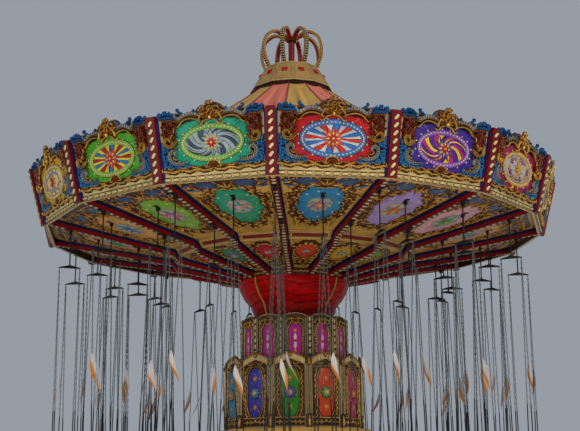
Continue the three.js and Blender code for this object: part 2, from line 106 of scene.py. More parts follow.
# Cloth
ROOF_CLOTH = 0.008
VINYL = 0.006
FRINGE_FOOT = 9.668
FRINGE_DROP = 0.128
FRINGE_RADIUS = 1.07
PLEAT_COUNT = 72
PLEAT_DEPTH = 0.012
TIE_COUNT = 4
BULB_PITCH = 0.062

# Chairs
RINGS = (("outer", 5.42, True), ("middle", 4.82, False), ("inner", 3.83, True))
BRACKET_DROP = 0.04
EYE_RADIUS = 0.024
GAP = 0.0003
ROD_LENGTH = 0.83
SPREADER_LENGTH = 0.5
SEAT_HEIGHT = 0.55
SEAT_WIDTH = 0.46
SEAT_LENGTH = 0.4
SEAT_BACK = 0.42
SEAT_SIDE = 0.23
SEAT_SHELL = 0.016
BAR_HEIGHT = 0.205
SLEEVE_TOP = 1.75
PENNANT_TOP = 2.65
PENNANT_LENGTH = 0.62
PENNANT_WIDTH = 0.13

# Camera, fitted to the photograph
CAMERA_PLACE = (-0.075, -27.132, 0.02)
CAMERA_PITCH = 13.64
CAMERA_ROLL = -0.49
CAMERA_LENS = 70.01

UP = np.array([0.0, 0.0, 1.0])


def linear(colour):
    """An sRGB hex colour as linear red, green and blue."""
    text = colour.lstrip("#")
    values = np.array([int(text[start:start + 2], 16) for start in (0, 2, 4)]) / 255
    return np.where(values <= 0.04045, values / 12.92, ((values + 0.055) / 1.055) ** 2.4)


def shades(colour, pale=0.45, deep=0.16):
    """Five colours across a carved band: dark with glaze and painted shade at its edges, full on its
    shoulders, and pale with a painted highlight on its crest.
    """
    full = linear(colour)
    crest = full * (1 - pale) + np.array([1.0, 0.93, 0.78]) * pale
    return np.stack([full * deep, full, crest, full, full * deep])


def glaze_and_painted_light(*colours):
    """Hex colours as rows of linear values, as across a carved band: dark with glaze and painted shade at its
    edges, pale with a painted highlight on its crest.
    """
    return np.stack([linear(colour) for colour in colours])


WHITE = linear("#ffffff")
UMBER = linear("#2c1508")
GROUND = linear("#4a290f")
SEAT_BLUE = linear("#142452")
# Carved bands from edge to edge: glaze and painted shade at the edges, full colour on the shoulders and a
# painted highlight on the crest
GILT = glaze_and_painted_light("#2e1606", "#a06a1c", "#f0cb6c", "#b9832a", "#3a1e0a")
BRONZE = glaze_and_painted_light("#240f05", "#7c4417", "#c98f45", "#8a5220", "#240f05")
SILVER = glaze_and_painted_light("#26252a", "#8e8d8c", "#dedad0", "#9a9894", "#26252a")
AZURE = glaze_and_painted_light("#04102a", "#105498", "#4aa2d6", "#0d4484", "#04102a")
COPPER = glaze_and_painted_light("#1c0a05", "#8a4424", "#d08a5c", "#8a4424", "#1c0a05")
RUSSET = glaze_and_painted_light("#1a0403", "#6c160e", "#a8482e", "#6c160e", "#1a0403")

# Painting of each rim board, starting right of azimuth 0: field, ring and three colours of its disc
BOARD_PAINTS = (
    ("#b01018", "#1c6cb8", "#b9bfc4", "#2470c4", "#d02c1c"),
    ("#3a2a92", "#7a48b8", "#e8c23c", "#b02a86", "#4a2c94"),
    ("#a01c58", "#c8962c", "#b0b2b8", "#7d2a6a", "#d8a83c"),
    ("#7e2a1c", "#c99a3c", "#c9b888", "#b0552a", "#2f7a62"),
    ("#b4552a", "#d0a83c", "#c9b98a", "#2f7a62", "#a8242c"),
    ("#3f8f3a", "#b8bc3c", "#b9c0a4", "#7c3f8a", "#d8a82c"),
    ("#2a6fb0", "#58a8cc", "#b9bfc4", "#c43b2c", "#e0b83c"),
    ("#9a2038", "#cc8a30", "#c4b8a4", "#3a5fa8", "#3a8a5a"),
    ("#2f7fb8", "#a8bc58", "#b9bcb0", "#b8441f", "#e0a82c"),
    ("#6a3c9c", "#c088b0", "#c4baa4", "#3b8a5a", "#d0463c"),
    ("#b0392a", "#d8a83c", "#c6bca4", "#355fa0", "#4a9a3c"),
    ("#2f8f86", "#98bc48", "#b4bcc0", "#8a3f9c", "#e0b02c"),
    ("#c07a22", "#d8c048", "#c6bca0", "#a12a3c", "#2c6aa8"),
    ("#d0a01c", "#b89a2c", "#e8d070", "#3c3aa0", "#b02430"),
    ("#4aa81c", "#88b83c", "#e0cc3c", "#2a78b8", "#b81c24"),
    ("#0c9a78", "#6aa83c", "#98a8b4", "#2c4a60", "#9cb0a8"),
)
SOFFIT_PAINTS = (
    "#1583b4", "#a78ccb", "#e0a0ac", "#d98a4a", "#d97a2c", "#5aa33a", "#3f8fc0", "#b8405a",
    "#2a9fb0", "#9a6ac0", "#d8603a", "#58a86a", "#e0883c", "#e09a2e", "#7fb52e", "#149a72",
)
INNER_PAINTS = ("#d8481c", "#d8a81c", "#8a9c2a", "#7a2f8a", "#a8246a", "#b8301c", "#2f7f5a", "#c8202c")
LOWER_PAINTS = ("#c23c10", "#b03060", "#c98a1c", "#1c74a4", "#583aa4", "#2a8c3c", "#b83c18", "#a0286a",
                "#2084a8", "#0c84b0", "#3c349c", "#1e8414")


# Paths, in the coordinates of a side

def run(heading, length):
    """The path from the origin that follows these headings, in radians, for this length."""
    step = length / (len(heading) - 1)
    middle = (heading[1:] + heading[:-1]) / 2
    moves = step * np.stack([np.cos(middle), np.sin(middle)], axis=-1)
    return np.concatenate([np.zeros((1, 2)), np.cumsum(moves, axis=0)])


def scroll(length, first, last, steps=21):
    """A scroll through the origin: heading = last·s^2.2 for s up to 1, and -first·|s|^2.2 from s = -1."""
    s = np.linspace(-1, 1, steps)
    path = run(last * np.maximum(s, 0) ** 2.2 - first * np.maximum(-s, 0) ** 2.2, length)
    return path - path[steps // 2]


def spine(at, angle, length, curl=0.0, steps=21):
    """A path from a point: its heading starts at an angle in degrees and turns by curl·s²."""
    s = np.linspace(0, 1, steps)
    return run(math.radians(angle) + curl * s ** 2, length) + np.array(at)


def spines(steps, *rows):
    """Spines with this many points, each from a row of its start, angle, length and curl."""
    return [spine(*row, steps) for row in rows]


def moved(path, at, angle=0.0, size=1.0):
    """A path made larger, turned by an angle in degrees and shifted."""
    turn = math.radians(angle)
    matrix = np.array([[math.cos(turn), math.sin(turn)], [-math.sin(turn), math.cos(turn)]])
    return size * path @ matrix + np.array(at)


def mirrored(paths):
    """One path or more, and their mirror images about the line u = 0."""
    paths = np.reshape(paths, (-1, *np.shape(paths)[-2:]))
    return np.concatenate([paths, paths * (-1.0, 1.0)])


def kept_wide(path, share=0.01):
    """A path with a point added close to each end: a band on it keeps its width nearly to the ends."""
    path = np.asarray(path, float)
    first = path[:1] + (path[1:2] - path[:1]) * share
    last = path[-1:] + (path[-2:-1] - path[-1:]) * share
    return np.concatenate([path[:1], first, path[1:-1], last, path[-1:]])


def straight(start, end, steps=2):
    """Points on a line from start to end."""
    return kept_wide(np.linspace(start, end, steps))


def ellipse(angle, across, up):
    """Points of an ellipse at these angles: across times the cosine and up times the sine."""
    return np.stack([across * np.cos(angle), up * np.sin(angle)], axis=-1)


def circling(count, start=0.0):
    """Angles evenly round a turn, from a start."""
    return start + np.arange(count) * 2 * math.pi / count


def oval(across, up, columns=48, lobes=0, depth=0.0):
    """An ellipse seen anticlockwise, with lobes that stand out by depth times the absolute sine."""
    angle = circling(columns)
    reach = 1 + depth * (np.abs(np.sin(angle * lobes / 2)) - 1)
    return ellipse(angle, across * reach, up * reach)


def blunted(outline, half, power):
    """An outline with its ends filled out: u, as a share of half its width, is raised to a power below 1."""
    u = outline[:, 0]
    return np.stack([np.sign(u) * half * np.abs(u / half) ** power, outline[:, 1]], axis=-1)


def star(count, outer, inner):
    """A star's outline: its points alternate between two radii."""
    reach = np.tile([outer, inner], count)
    return ellipse(circling(2 * count, math.pi / 2), reach, reach)


def walked(path):
    """The length of a path up to each of its points."""
    return np.concatenate([[0.0], np.cumsum(np.linalg.norm(np.diff(path, axis=0), axis=1))])


def at_length(path, values, lengths):
    """Values that belong to a path's points, read at these lengths along it."""
    return np.stack([np.interp(lengths, walked(path), column) for column in values.T], axis=-1)


def beside(path, fractions):
    """Points of a path at fractions of its length, with the path's headings there in degrees."""
    slope = np.gradient(path, axis=0)
    headings = np.unwrap(np.arctan2(slope[:, 1], slope[:, 0]))
    found = at_length(path, np.column_stack([path, headings]), np.asarray(fractions) * walked(path)[-1])
    return found[:, :2], np.degrees(found[:, 2])


def scrolls_along(path, shape, count, offset=0.0, tilt=0.0):
    """Copies of a scroll one after the other along a path, shifted right by offset and tilted in turn."""
    points, headings = beside(path, (np.arange(count) + 0.5) / count)
    paths = []
    for index, (point, heading) in enumerate(zip(points, headings)):
        turn = math.radians(heading)
        shift = offset * np.array([math.sin(turn), -math.cos(turn)])
        paths.append(moved(shape, point + shift, heading + tilt * (-1) ** index))
    return paths


def strewn(shape, low, high, net, draw, keep=None, sizes=(0.8, 1.25)):
    """Copies of a path on a net over an oblong, shifted, turned and sized by draws, where keep is true."""
    columns, rows = net
    across, up = np.meshgrid((np.arange(columns) + 0.5) / columns, (np.arange(rows) + 0.5) / rows)
    shares = np.stack([across.ravel(), up.ravel()], axis=-1)
    shares = shares + draw.uniform(-0.32, 0.32, shares.shape) / np.array(net)
    places = np.array(low) + shares * (np.array(high) - np.array(low))
    turns = draw.uniform(-180, 180, len(places))
    scales = draw.uniform(*sizes, len(places))
    chosen = np.ones(len(places), bool) if keep is None else keep(places)
    return [moved(shape, *copy) for copy, taken in zip(zip(places, turns, scales), chosen) if taken]


def outside(middle, across, up):
    """A test that is true for points outside an ellipse."""
    return lambda places: np.sum(((places - np.array(middle)) / np.array([across, up])) ** 2, axis=-1) > 1


# Sections from the left edge over the top: half-widths and heights as shares of a band's own
BAND_SECTION = np.array([[-1.0, 0.0], [-0.7, 0.65], [0.0, 1.0], [0.7, 0.65], [1.0, 0.0]])
LEAF_SECTION = np.array([[-1.0, 0.0], [-0.55, 1.0], [0.0, 0.45], [0.55, 1.0], [1.0, 0.0]])
STRIP_SECTION = np.array([[-1.0, 0.0], [-1.0, 0.85], [0.0, 1.0], [1.0, 0.85], [1.0, 0.0]])
SQUARE_SECTION = np.array([[-1.0, -1.0], [-1.0, 1.0], [1.0, 1.0], [1.0, -1.0]])

# The outline of a square, from -1 to 1
SQUARE = np.array([(-1, -1), (1, -1), (1, 1), (-1, 1)])


def round_section(sides):
    """A round section, from its left side over its top."""
    return ellipse(math.pi - circling(sides), 1.0, 1.0)


def capped(path):
    """A path with its ends repeated a hair further out, and sizes that close a bar there: 0 there, else 1."""
    path = np.asarray(path, float)
    first = path[:1] + (path[:1] - path[1:2]) * 1e-3
    last = path[-1:] + (path[-1:] - path[-2:-1]) * 1e-3
    return np.concatenate([first, path, last]), np.pad(np.ones(len(path)), 1)


def unit(vectors):
    """Vectors divided by their lengths."""
    return vectors / np.maximum(np.linalg.norm(vectors, axis=-1, keepdims=True), 1e-9)


def raised(flat, heights):
    """Flat points with a height each."""
    return np.concatenate([flat, np.broadcast_to(heights, flat.shape[:-1])[..., None]], axis=-1)


class Relief:
    """Surfaces kept as arrays of points, faces and colours until they become one mesh."""

    def __init__(self):
        self.points = []
        self.faces = []
        self.paints = []
        self.count = 0

    def add(self, points, faces, paints):
        """Adds points, four-cornered faces that index them, and one colour for each point."""
        self.points.append(points)
        self.faces.append(faces + self.count)
        self.paints.append(paints)
        self.count += len(points)

    def grids(self, surface, paint, loop=False):
        """Adds grids (..., rows, columns, 3) of points; columns crossed with rows point outwards."""
        rows, columns = surface.shape[-3:-1]
        index = np.arange(rows * columns).reshape(rows, columns)
        if loop:
            index = np.concatenate([index, index[:, :1]], axis=1)
        corners = (index[:-1, :-1], index[:-1, 1:], index[1:, 1:], index[1:, :-1])
        faces = np.stack(corners, axis=-1).reshape(-1, 4)
        copies = surface.size // (rows * columns * 3)
        shifts = np.arange(copies)[:, None, None] * rows * columns
        paints = np.broadcast_to(paint, surface.shape).reshape(-1, 3)
        self.add(surface.reshape(-1, 3), (faces + shifts).reshape(-1, 4), paints)

    def carry(self, paths, across, widths, heights, paint, section):
        """Carries a section along paths in space: width along across, height along across × path."""
        paths = np.asarray(paths, float)
        slope = unit(np.gradient(paths, axis=-2))
        across = unit(across - slope * np.sum(across * slope, axis=-1, keepdims=True))
        self.place_section(paths, across, np.cross(across, slope), widths, heights, paint, section)

    def place_section(self, paths, across, up, widths, heights, paint, section):
        """Stands the section at each step of the paths, scaled along across and along up."""
        steps = paths.shape[-2]
        widths = np.broadcast_to(widths, (steps,))[:, None] * section[:, 0]
        heights = np.broadcast_to(heights, (steps,))[:, None] * section[:, 1]
        points = paths[..., :, None, :] + across[..., :, None, :] * widths[..., None]
        self.grids(points + up[..., :, None, :] * heights[..., None], paint, loop=True)

    def sweep(self, paths, widths, heights, paint, base=0.0, section=BAND_SECTION, closed=False):
        """Carries a section along flat paths (copies, steps, 2): half a width across, a height outwards."""
        paths = np.asarray(paths, float)
        if closed:
            paths = np.concatenate([paths[..., -1:, :], paths, paths[..., :2, :]], axis=-2)
        slope = unit(np.gradient(paths, axis=-2))
        if closed:
            paths, slope = paths[..., 1:-1, :], slope[..., 1:-1, :]
        side = raised(slope[..., ::-1] * (1.0, -1.0), 0.0)
        self.place_section(raised(paths, base), side, np.broadcast_to(UP, side.shape), widths, heights, paint,
                           section)

    def lathe(self, profile, sides, paint, turn=0.0):
        """Turns a profile of (radius, height) pairs about Z. On an outer face the profile rises."""
        profile = np.asarray(profile, float)[:, None]
        angle = circling(sides, math.radians(turn))
        outwards = np.stack([np.sin(angle), -np.cos(angle), np.zeros(sides)], axis=-1)
        self.grids(profile[..., :1] * outwards + profile[..., 1:] * UP, paint, loop=True)

    def bands(self, paths, width, height, paint=GILT, base=0.0, blunt=4.0, section=BAND_SECTION):
        """Rounded bands that run out at both ends: size = sqrt(1 - |s|^blunt), s from -1 to 1."""
        s = np.linspace(-1, 1, np.shape(paths)[-2])
        swell = np.sqrt(1 - np.abs(s) ** blunt)
        self.sweep(paths, width * swell, height * swell, paint, base, section)

    def leaves(self, spines, width, height, paint, lobes=4, base=0.0):
        """Leaves: half-width = width·sin(π·s^0.7)·(0.66 + 0.34·|sin(lobes·π·s)|), a valley on the spine."""
        s = np.linspace(0, 1, np.shape(spines)[-2])
        outline = np.sin(math.pi * s ** 0.7) * (0.66 + 0.34 * np.abs(np.sin(lobes * math.pi * s)))
        rise = np.sqrt(np.maximum(np.sin(math.pi * s ** 0.7), 0))
        self.sweep(spines, width * outline, height * rise, paint, base, LEAF_SECTION)

    def scrolls(self, path, curl, count, width, height, paint=GILT, base=0.0, offset=0.0, tilt=0.0):
        """Scrolls one after the other along a path and its mirror image; curl holds a scroll's own values."""
        self.bands(mirrored(scrolls_along(path, scroll(*curl), count, offset, tilt)), width, height, paint,
                   base)

    def curls(self, curl, low, high, net, draw, width, height, paint, base, keep=None):
        """Scrolls strewn over an oblong and over its mirror image."""
        self.bands(mirrored(strewn(scroll(*curl), low, high, net, draw, keep)), width, height, paint, base)

    def lines(self, start, end, width, height, paint, base=0.0, blunt=60.0, section=BAND_SECTION):
        """A straight band that keeps its width nearly to its ends."""
        self.bands(straight(start, end), width, height, paint, base, blunt, section)

    def edges(self, start, end, width, height, paint):
        """A straight band and its mirror image."""
        self.bands(mirrored(straight(start, end)), width, height, paint, blunt=60)

    def plates(self, centres, *rows):
        """Thin mounds over the same centres, each from a row: outline, edge, depth, rise and paint."""
        for outline, edge, depth, rise, paint in rows:
            self.mounds(centres, outline, lens(edge, depth, rise), paint)

    def mounds(self, centres, outline, levels, paints):
        """Mounds over an outline: each level is a pair, the outline's scale and the height, with a colour."""
        scales, heights = np.array(levels).T[..., None]
        flat = np.reshape(centres, (-1, 1, 1, 2)) + outline * scales[..., None]
        self.grids(raised(flat, heights), np.reshape(paints, (-1, 1, 3)), loop=True)

    def domes(self, centres, across, up, height, paint, base=0.0, columns=8, rows=4):
        """Lamp or bead domes: the edge shrinks with the cosine of an angle and rises with its sine."""
        levels = ellipse(np.linspace(0, math.pi / 2, rows), 1.0, height) + (0.0, base)
        self.mounds(centres, oval(across, up, columns), levels, paint)

    def rays(self, centre, outline, colours, base, rise=0.0, parts=2, twist=0.0):
        """Sectors from an outline to its centre, in the colours in turn, that turn by twist on their way."""
        count = len(outline) // parts
        index = (np.arange(count)[:, None] * parts + np.arange(parts + 1)) % len(outline)
        scale = np.linspace(1.0, 0.0, 6)
        turned = np.stack([moved(outline, centre, twist * (1 - share), share) for share in scale])
        flat = turned[:, index].transpose(1, 0, 2, 3)
        paint = np.stack(colours)[np.arange(count) % len(colours), None, None]
        self.grids(raised(flat, base + rise * (1 - scale[:, None] ** 2)), paint)

    def stamp(self, pattern, place):
        """Adds another relief with its points carried to a place."""
        points, faces, paints = pattern.joined()
        self.add(place(points), faces, paints)

    def joined(self):
        """All points, faces and colours as three arrays."""
        return np.concatenate(self.points), np.concatenate(self.faces), np.concatenate(self.paints)


def repeated(pattern, places):
    """A relief with a pattern carried to each of these places."""
    whole = Relief()
    for place in places:
        whole.stamp(pattern, place)
    return whole


# Places on the ride

def directions(azimuth):
    """The outward and sideways unit vectors at an azimuth in degrees."""
    sine, cosine = math.sin(math.radians(azimuth)), math.cos(math.radians(azimuth))
    return np.array([sine, -cosine, 0.0]), np.array([cosine, sine, 0.0])


def plane(origin, across, up):
    """A place on a plane: u runs along across, v along up and h square to both."""
    basis = np.stack([across, up, np.cross(across, up)])
    return lambda points: origin + points @ basis


def on_side(azimuth, apothem, height, lean):
    """A place on a flat side at this distance from the axis. The side leans outwards by lean, in radians."""
    outward, sideways = directions(azimuth)
    up = outward * math.sin(lean) + UP * math.cos(lean)
    return plane(outward * apothem + UP * height, sideways, up)


def corners(sides, turn):
    """Azimuths of the corners."""
    return [turn + index * 360 / sides for index in range(sides)]


def middles(sides, turn):
    """Azimuths of the middles of the sides."""
    return [azimuth + 180 / sides for azimuth in corners(sides, turn)]


def squareness(sides):
    """A side's distance from the axis over its corner's."""
    return math.cos(math.pi / sides)


def faces(radius, sides, turn):
    """Upright places on all sides of a drum, given its corners' radius; v is the height over the ground."""
    return [on_side(azimuth, radius * squareness(sides), 0.0, 0.0) for azimuth in middles(sides, turn)]


def posts(radius, sides, turn):
    """Upright places at all corners of a drum."""
    return [on_side(azimuth, radius, 0.0, 0.0) for azimuth in corners(sides, turn)]


def sides_between(foot, head, sides, turn):
    """Places on all sides between two (corner radius, height) pairs, with the distance up the side."""
    inner, outer = foot[0] * squareness(sides), head[0] * squareness(sides)
    lean = math.atan2(outer - inner, head[1] - foot[1])
    places = [on_side(azimuth, inner, foot[1], lean) for azimuth in middles(sides, turn)]
    return places, math.hypot(outer - inner, head[1] - foot[1])


def new_mesh(name, points, faces, paints, finishes):
    """A mesh of four-cornered faces, with its paint by corner and a material for each face."""
    mesh = bpy.data.meshes.new(name)
    mesh.vertices.add(len(points))
    mesh.vertices.foreach_set("co", points.astype(np.float32).ravel())
    mesh.loops.add(faces.size)
    mesh.loops.foreach_set("vertex_index", faces.astype(np.int32).ravel())
    mesh.polygons.add(len(faces))
    mesh.polygons.foreach_set("loop_start", np.arange(len(faces), dtype=np.int32) * 4)
    mesh.update(calc_edges=True)
    mesh.polygons.foreach_set("material_index", finishes.astype(np.int32))
    layer = mesh.color_attributes.new("paint", "FLOAT_COLOR", "CORNER")
    colours = np.concatenate([paints[faces.ravel()], np.ones((faces.size, 1))], axis=1)
    layer.data.foreach_set("color", colours.astype(np.float32).ravel())
    return mesh


def make_piece(name, parts, body, replaces=(), angle=38.0):
    """Turns reliefs, each with its finish, into one object that rides on a body; doubled points join."""
    joined = [relief.joined() for relief, _ in parts]
    shifts = np.cumsum([0] + [len(points) for points, _, _ in joined])
    points = np.concatenate([item[0] for item in joined])
    faces = np.concatenate([item[1] + shift for item, shift in zip(joined, shifts)])
    paints = np.concatenate([item[2] for item in joined])
    finishes = np.concatenate([np.full(len(item[1]), index) for index, item in enumerate(joined)])
    mesh = new_mesh(name, points, faces, paints, finishes)
    shape = bmesh.new()
    shape.from_mesh(mesh)
    bmesh.ops.remove_doubles(shape, verts=shape.verts, dist=2e-5)
    shape.to_mesh(mesh)
    shape.free()
    mesh.shade_smooth()
    mesh.set_sharp_from_angle(angle=math.radians(angle))
    for _, finish in parts:
        mesh.materials.append(FINISH[finish])
    piece = bpy.data.objects.new(name, mesh)
    bpy.context.scene.collection.objects.link(piece)
    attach(piece, body)
    if replaces:
        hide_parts(*replaces)
    return piece


# Materials

def add_node(material, kind, inputs=None, **settings):
    """Adds a shader node, sets its own values, and gives each named input a value or a link."""
    made = material.node_tree.nodes.new("ShaderNode" + kind)
    for name, value in settings.items():
        setattr(made, name, value)
    for key, value in (inputs or {}).items():
        if isinstance(value, bpy.types.NodeSocket):
            material.node_tree.links.new(value, made.inputs[key])
        else:
            made.inputs[key].default_value = value
    return made


def rgba(colour):
    """A colour with full opacity, from a hex value or three numbers."""
    values = linear(colour) if isinstance(colour, str) else list(colour)
    return (*[float(value) for value in values], 1.0)


def new_material(name, colour):
    """An empty node material whose viewport colour is close to its own."""
    material = bpy.data.materials.new(name)
    material.use_nodes = True
    material.node_tree.nodes.clear()
    material.diffuse_color = rgba(colour)
    return material


def weathered(material, colour, grime, scale, amount):
    """A colour under uneven glaze: wide noise times fine noise darkens it towards the grime colour."""
    place = add_node(material, "TexCoord").outputs["Object"]
    wide = add_node(material, "TexNoise", {"Vector": place, "Scale": scale, "Detail": 5.0, "Roughness": 0.62})
    limits = {"Value": wide.outputs["Fac"], "From Min": 0.46, "From Max": 0.74, "To Min": 0.0,
              "To Max": amount}
    share = add_node(material, "MapRange", limits)
    return add_node(material, "Mix", {0: share.outputs[0], 6: colour, 7: rgba(grime)},
                    data_type="RGBA").outputs[2]


def painted(name, colour=None, roughness=0.38, grime="#4a2d14", scale=2.2, amount=0.35, coat=0.1,
            metallic=0.0, grain=90.0, bump=0.12, gloss=0.28):
    """Paint: a colour, or the piece's own, under glaze, with a fine unevenness in roughness and bump."""
    material = new_material(name, colour or "#b08a50")
    own = rgba(colour) if colour else add_node(material, "Attribute", attribute_name="paint").outputs["Color"]
    tinted = weathered(material, own, grime, scale, amount)
    place = add_node(material, "TexCoord").outputs["Object"]
    fine = add_node(material, "TexNoise", {"Vector": place, "Scale": grain, "Detail": 3.0})
    spread = {"Value": fine.outputs["Fac"], "To Min": roughness - 0.08, "To Max": roughness + 0.1}
    rough = add_node(material, "MapRange", spread)
    normal = add_node(material, "Bump", {"Height": fine.outputs["Fac"], "Strength": bump, "Distance": 0.004})
    inputs = {"Base Color": tinted, "Roughness": rough.outputs[0], "Normal": normal.outputs[0],
              "Metallic": metallic, "Specular IOR Level": gloss, "Coat Weight": coat, "Coat Roughness": 0.18}
    shader = add_node(material, "BsdfPrincipled", inputs)
    add_node(material, "OutputMaterial", {"Surface": shader.outputs[0]})
    return material


# Finishes, filled once the settings are known
FINISH = {}
CREAM_GLAZE = "#5e3d18"


def make_finishes(settings):
    """Makes the materials. A finish without a colour takes the colour that each piece holds."""
    FINISH.update(
        # Alkyd enamel brushed on glass-fibre panels: satin, warm cream, browned by glaze left in the hollows
        cream=painted("cream enamel", settings.cream, 0.45, CREAM_GLAZE, 1.6, 0.6),
        # The same cream enamel on pieces that hold their own colour
        cream_relief=painted("cream enamel on relief", None, 0.45, CREAM_GLAZE, 1.6, 0.5),
        # The same enamel, cream on the boards and umber on the cresting above their heads
        boards=banded_enamel("cream and umber enamel", RIM_HEAD, settings.board, UMBER),
        # The same enamel, red at the plinth's foot
        plinth=banded_enamel("cream and red enamel", PLINTH_FOOT, settings.red, settings.cream),
        # Brown glaze over gold paint: the ground of the drums' carving
        umber=painted("umber glaze", "#4a3015", 0.5, "#1c0e05", 7.0, 0.6),
        # Enamel on carved relief in the colours of each piece, which hold painted shade and painted
        # highlights
        enamel=painted("relief enamel", None, 0.4, "#221006", 4.0, 0.42),
        # Cut-glass paste behind clear lacquer: deep red and very glossy
        jewel=painted("lacquered jewel", None, 0.2, "#2a0203", 8.0, 0.2, 0.1, bump=0.02, gloss=0.25),
        # Gold paint over umber glaze: half metallic; its pieces' colours make it dark with glaze and painted
        # shade in the hollows and bright with a painted highlight where the carving stands out
        gilt=painted("gold paint on carving", None, 0.34, "#2a1205", 5.0, 0.5, 0.1, metallic=0.35, bump=0.2),
        # Opal acrylic lamp caps: smooth and slightly yellowed
        lamp=painted("opal acrylic", "#dcc995", 0.26, "#8f6a34", 9.0, 0.35, 0.25, grain=30.0, bump=0.02),
        # Machine enamel on rolled steel beams: deep red, chalky where rain reaches it
        red=painted("red machine enamel", settings.red, 0.45, "#2a0404", 1.8, 0.45, 0.04, gloss=0.15),
        # Black forge paint on the chair hangers and rods: satin with a slight rust bloom
        iron=painted("black forge paint", "#121315", 0.5, "#3a2014", 14.0, 0.35, 0.05, metallic=0.1),
        # Hot-dip galvanised chain, years old: dull blue-grey with dark blooms
        zinc=painted("galvanised steel", "#56605f", 0.5, "#23292b", 30.0, 0.6, 0.0, metallic=0.4),
        # Grey machine enamel on the mast
        mast=painted("grey machine enamel", "#565b5e", 0.4, "#2a2420", 2.5, 0.5, 0.15, metallic=0.1),
        # Chromed tube of the safety bars
        bar=painted("chromed tube", "#a9adb2", 0.22, "#55504a", 20.0, 0.3, 0.0, metallic=0.9, bump=0.03),
        # Gel-coated glass fibre of the seats: very glossy dark blue
        seat=painted("gel-coated glass fibre", None, 0.2, "#0c0f1a", 6.0, 0.3, 0.6, bump=0.04, gloss=0.5),
        # Rubber sleeves over the chains where hands and clothes reach them: matt black
        rubber=painted("black rubber", "#15161a", 0.6, "#3a3a38", 12.0, 0.4, 0.0, grain=60.0),
        # Acrylic-coated canvas, woven and sun-bleached: matt, with the weave drawn coarse enough to show
        canvas=painted("coated canvas", None, 0.72, "#7d5226", 0.9, 0.35, 0.0, grain=140.0, bump=0.35),
        # Coated vinyl, sewn in panels: satin, unevenly dirty; the skirt's own colours add painted shade along
        # its creases
        vinyl=painted("coated vinyl", None, 0.36, "#2a0202", 2.4, 0.5, 0.0, grain=60.0, bump=0.1, gloss=0.08),
        # Wool fringe, dyed dark red: matt and dusty
        wool=painted("wool fringe", None, 0.85, "#2a1a12", 6.0, 0.4, 0.0, grain=200.0, bump=0.4),
        # Printed polyester flag cloth: thin and satin
        flag=painted("flag polyester", None, 0.55, "#8a7a60", 5.0, 0.2, 0.0, grain=160.0, bump=0.25),
    )


def finish_node(name, finish):
    """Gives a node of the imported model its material."""
    node = bpy.data.objects[name]
    if len(node.material_slots):
        node.material_slots[0].material = FINISH[finish]
    else:
        node.data.materials.append(FINISH[finish])


def banded_enamel(name, level, low_colour, high_colour):
    """Enamel that changes colour at a height: a ramp without blending over the object's Z, under glaze."""
    material = new_material(name, low_colour)
    place = add_node(material, "TexCoord").outputs["Object"]
    height = add_node(material, "SeparateXYZ", {"Vector": place}).outputs["Z"]
    limits = {"Value": height, "From Min": level - 1, "From Max": level + 1}
    ramp = add_node(material, "ValToRGB", {"Fac": add_node(material, "MapRange", limits).outputs[0]})
    ramp.color_ramp.interpolation = "CONSTANT"
    below, above = ramp.color_ramp.elements
    below.color = rgba(low_colour)
    above.position = 0.5
    above.color = rgba(high_colour)
    tinted = weathered(material, ramp.outputs["Color"], CREAM_GLAZE, 1.6, 0.6)
    fine = add_node(material, "TexNoise", {"Vector": place, "Scale": 60.0, "Detail": 3.0})
    normal = add_node(material, "Bump", {"Height": fine.outputs["Fac"], "Strength": 0.12, "Distance": 0.004})
    inputs = {"Base Color": tinted, "Roughness": 0.4, "Normal": normal.outputs[0], "Specular IOR Level": 0.28}
    shader = add_node(material, "BsdfPrincipled", inputs)
    add_node(material, "OutputMaterial", {"Surface": shader.outputs[0]})
    return material


# Rim boards

RIM_PLACES, _ = sides_between(
    (RIM_RADIUS, RIM_FOOT), (RIM_RADIUS + RIM_FLARE, RIM_HEAD), CANOPY_SIDES, CANOPY_TURN)
MEDAL = (0.0, 0.745)
MEDAL_AXES = (0.61, 0.325)
FIELD_AXES = (0.83, 0.46)
LAMP_COUNT = 46
GOLD = "#d8a83c"

# Scale and height of each level of a thin dark plate under the carving
SUNK = [(1.0, 0.0), (0.98, 0.006), (0.0, 0.006)]


def lens(scale, depth, rise):
    """Levels of a thin mound with a soft edge."""
    return [(1.0, depth), (1.0 - scale, depth + 0.7 * rise), (0.6, depth + rise), (0.0, depth + rise)]


def tones(colour, dark=0.4, pale=0.25):
    """Four colours of a mound: painted shade dark at its edge, full inside, and a painted highlight a little
    paler at its middle.
    """
    full = linear(colour)
    light = np.array([1.0, 0.97, 0.85])
    crest = [full * (1 - share) + light * share for share in (pale, 1.6 * pale)]
    return np.stack([full * dark, full, *crest])


def rosette(art, centre, size, petals, colour, heart, base):
    """A flower of round petals with a bead in its middle."""
    outline = oval(size, size, petals * 6, petals, 0.34)
    art.mounds(centre, outline, lens(0.12, base, 0.02), tones(colour, 0.25, 0.0))
    art.domes(centre, size * 0.32, size * 0.32, 0.035, shades(heart)[[0, 1, 1, 2]], base + 0.01, columns=10)


def ribs_across(path, fractions, half):
    """Short lines across a path, half a width to each side, at fractions of its length."""
    points, headings = beside(path, fractions)
    rib = np.linspace((0.0, -half), (0.0, half), 4)
    return [moved(rib, point, heading) for point, heading in zip(points, headings)]


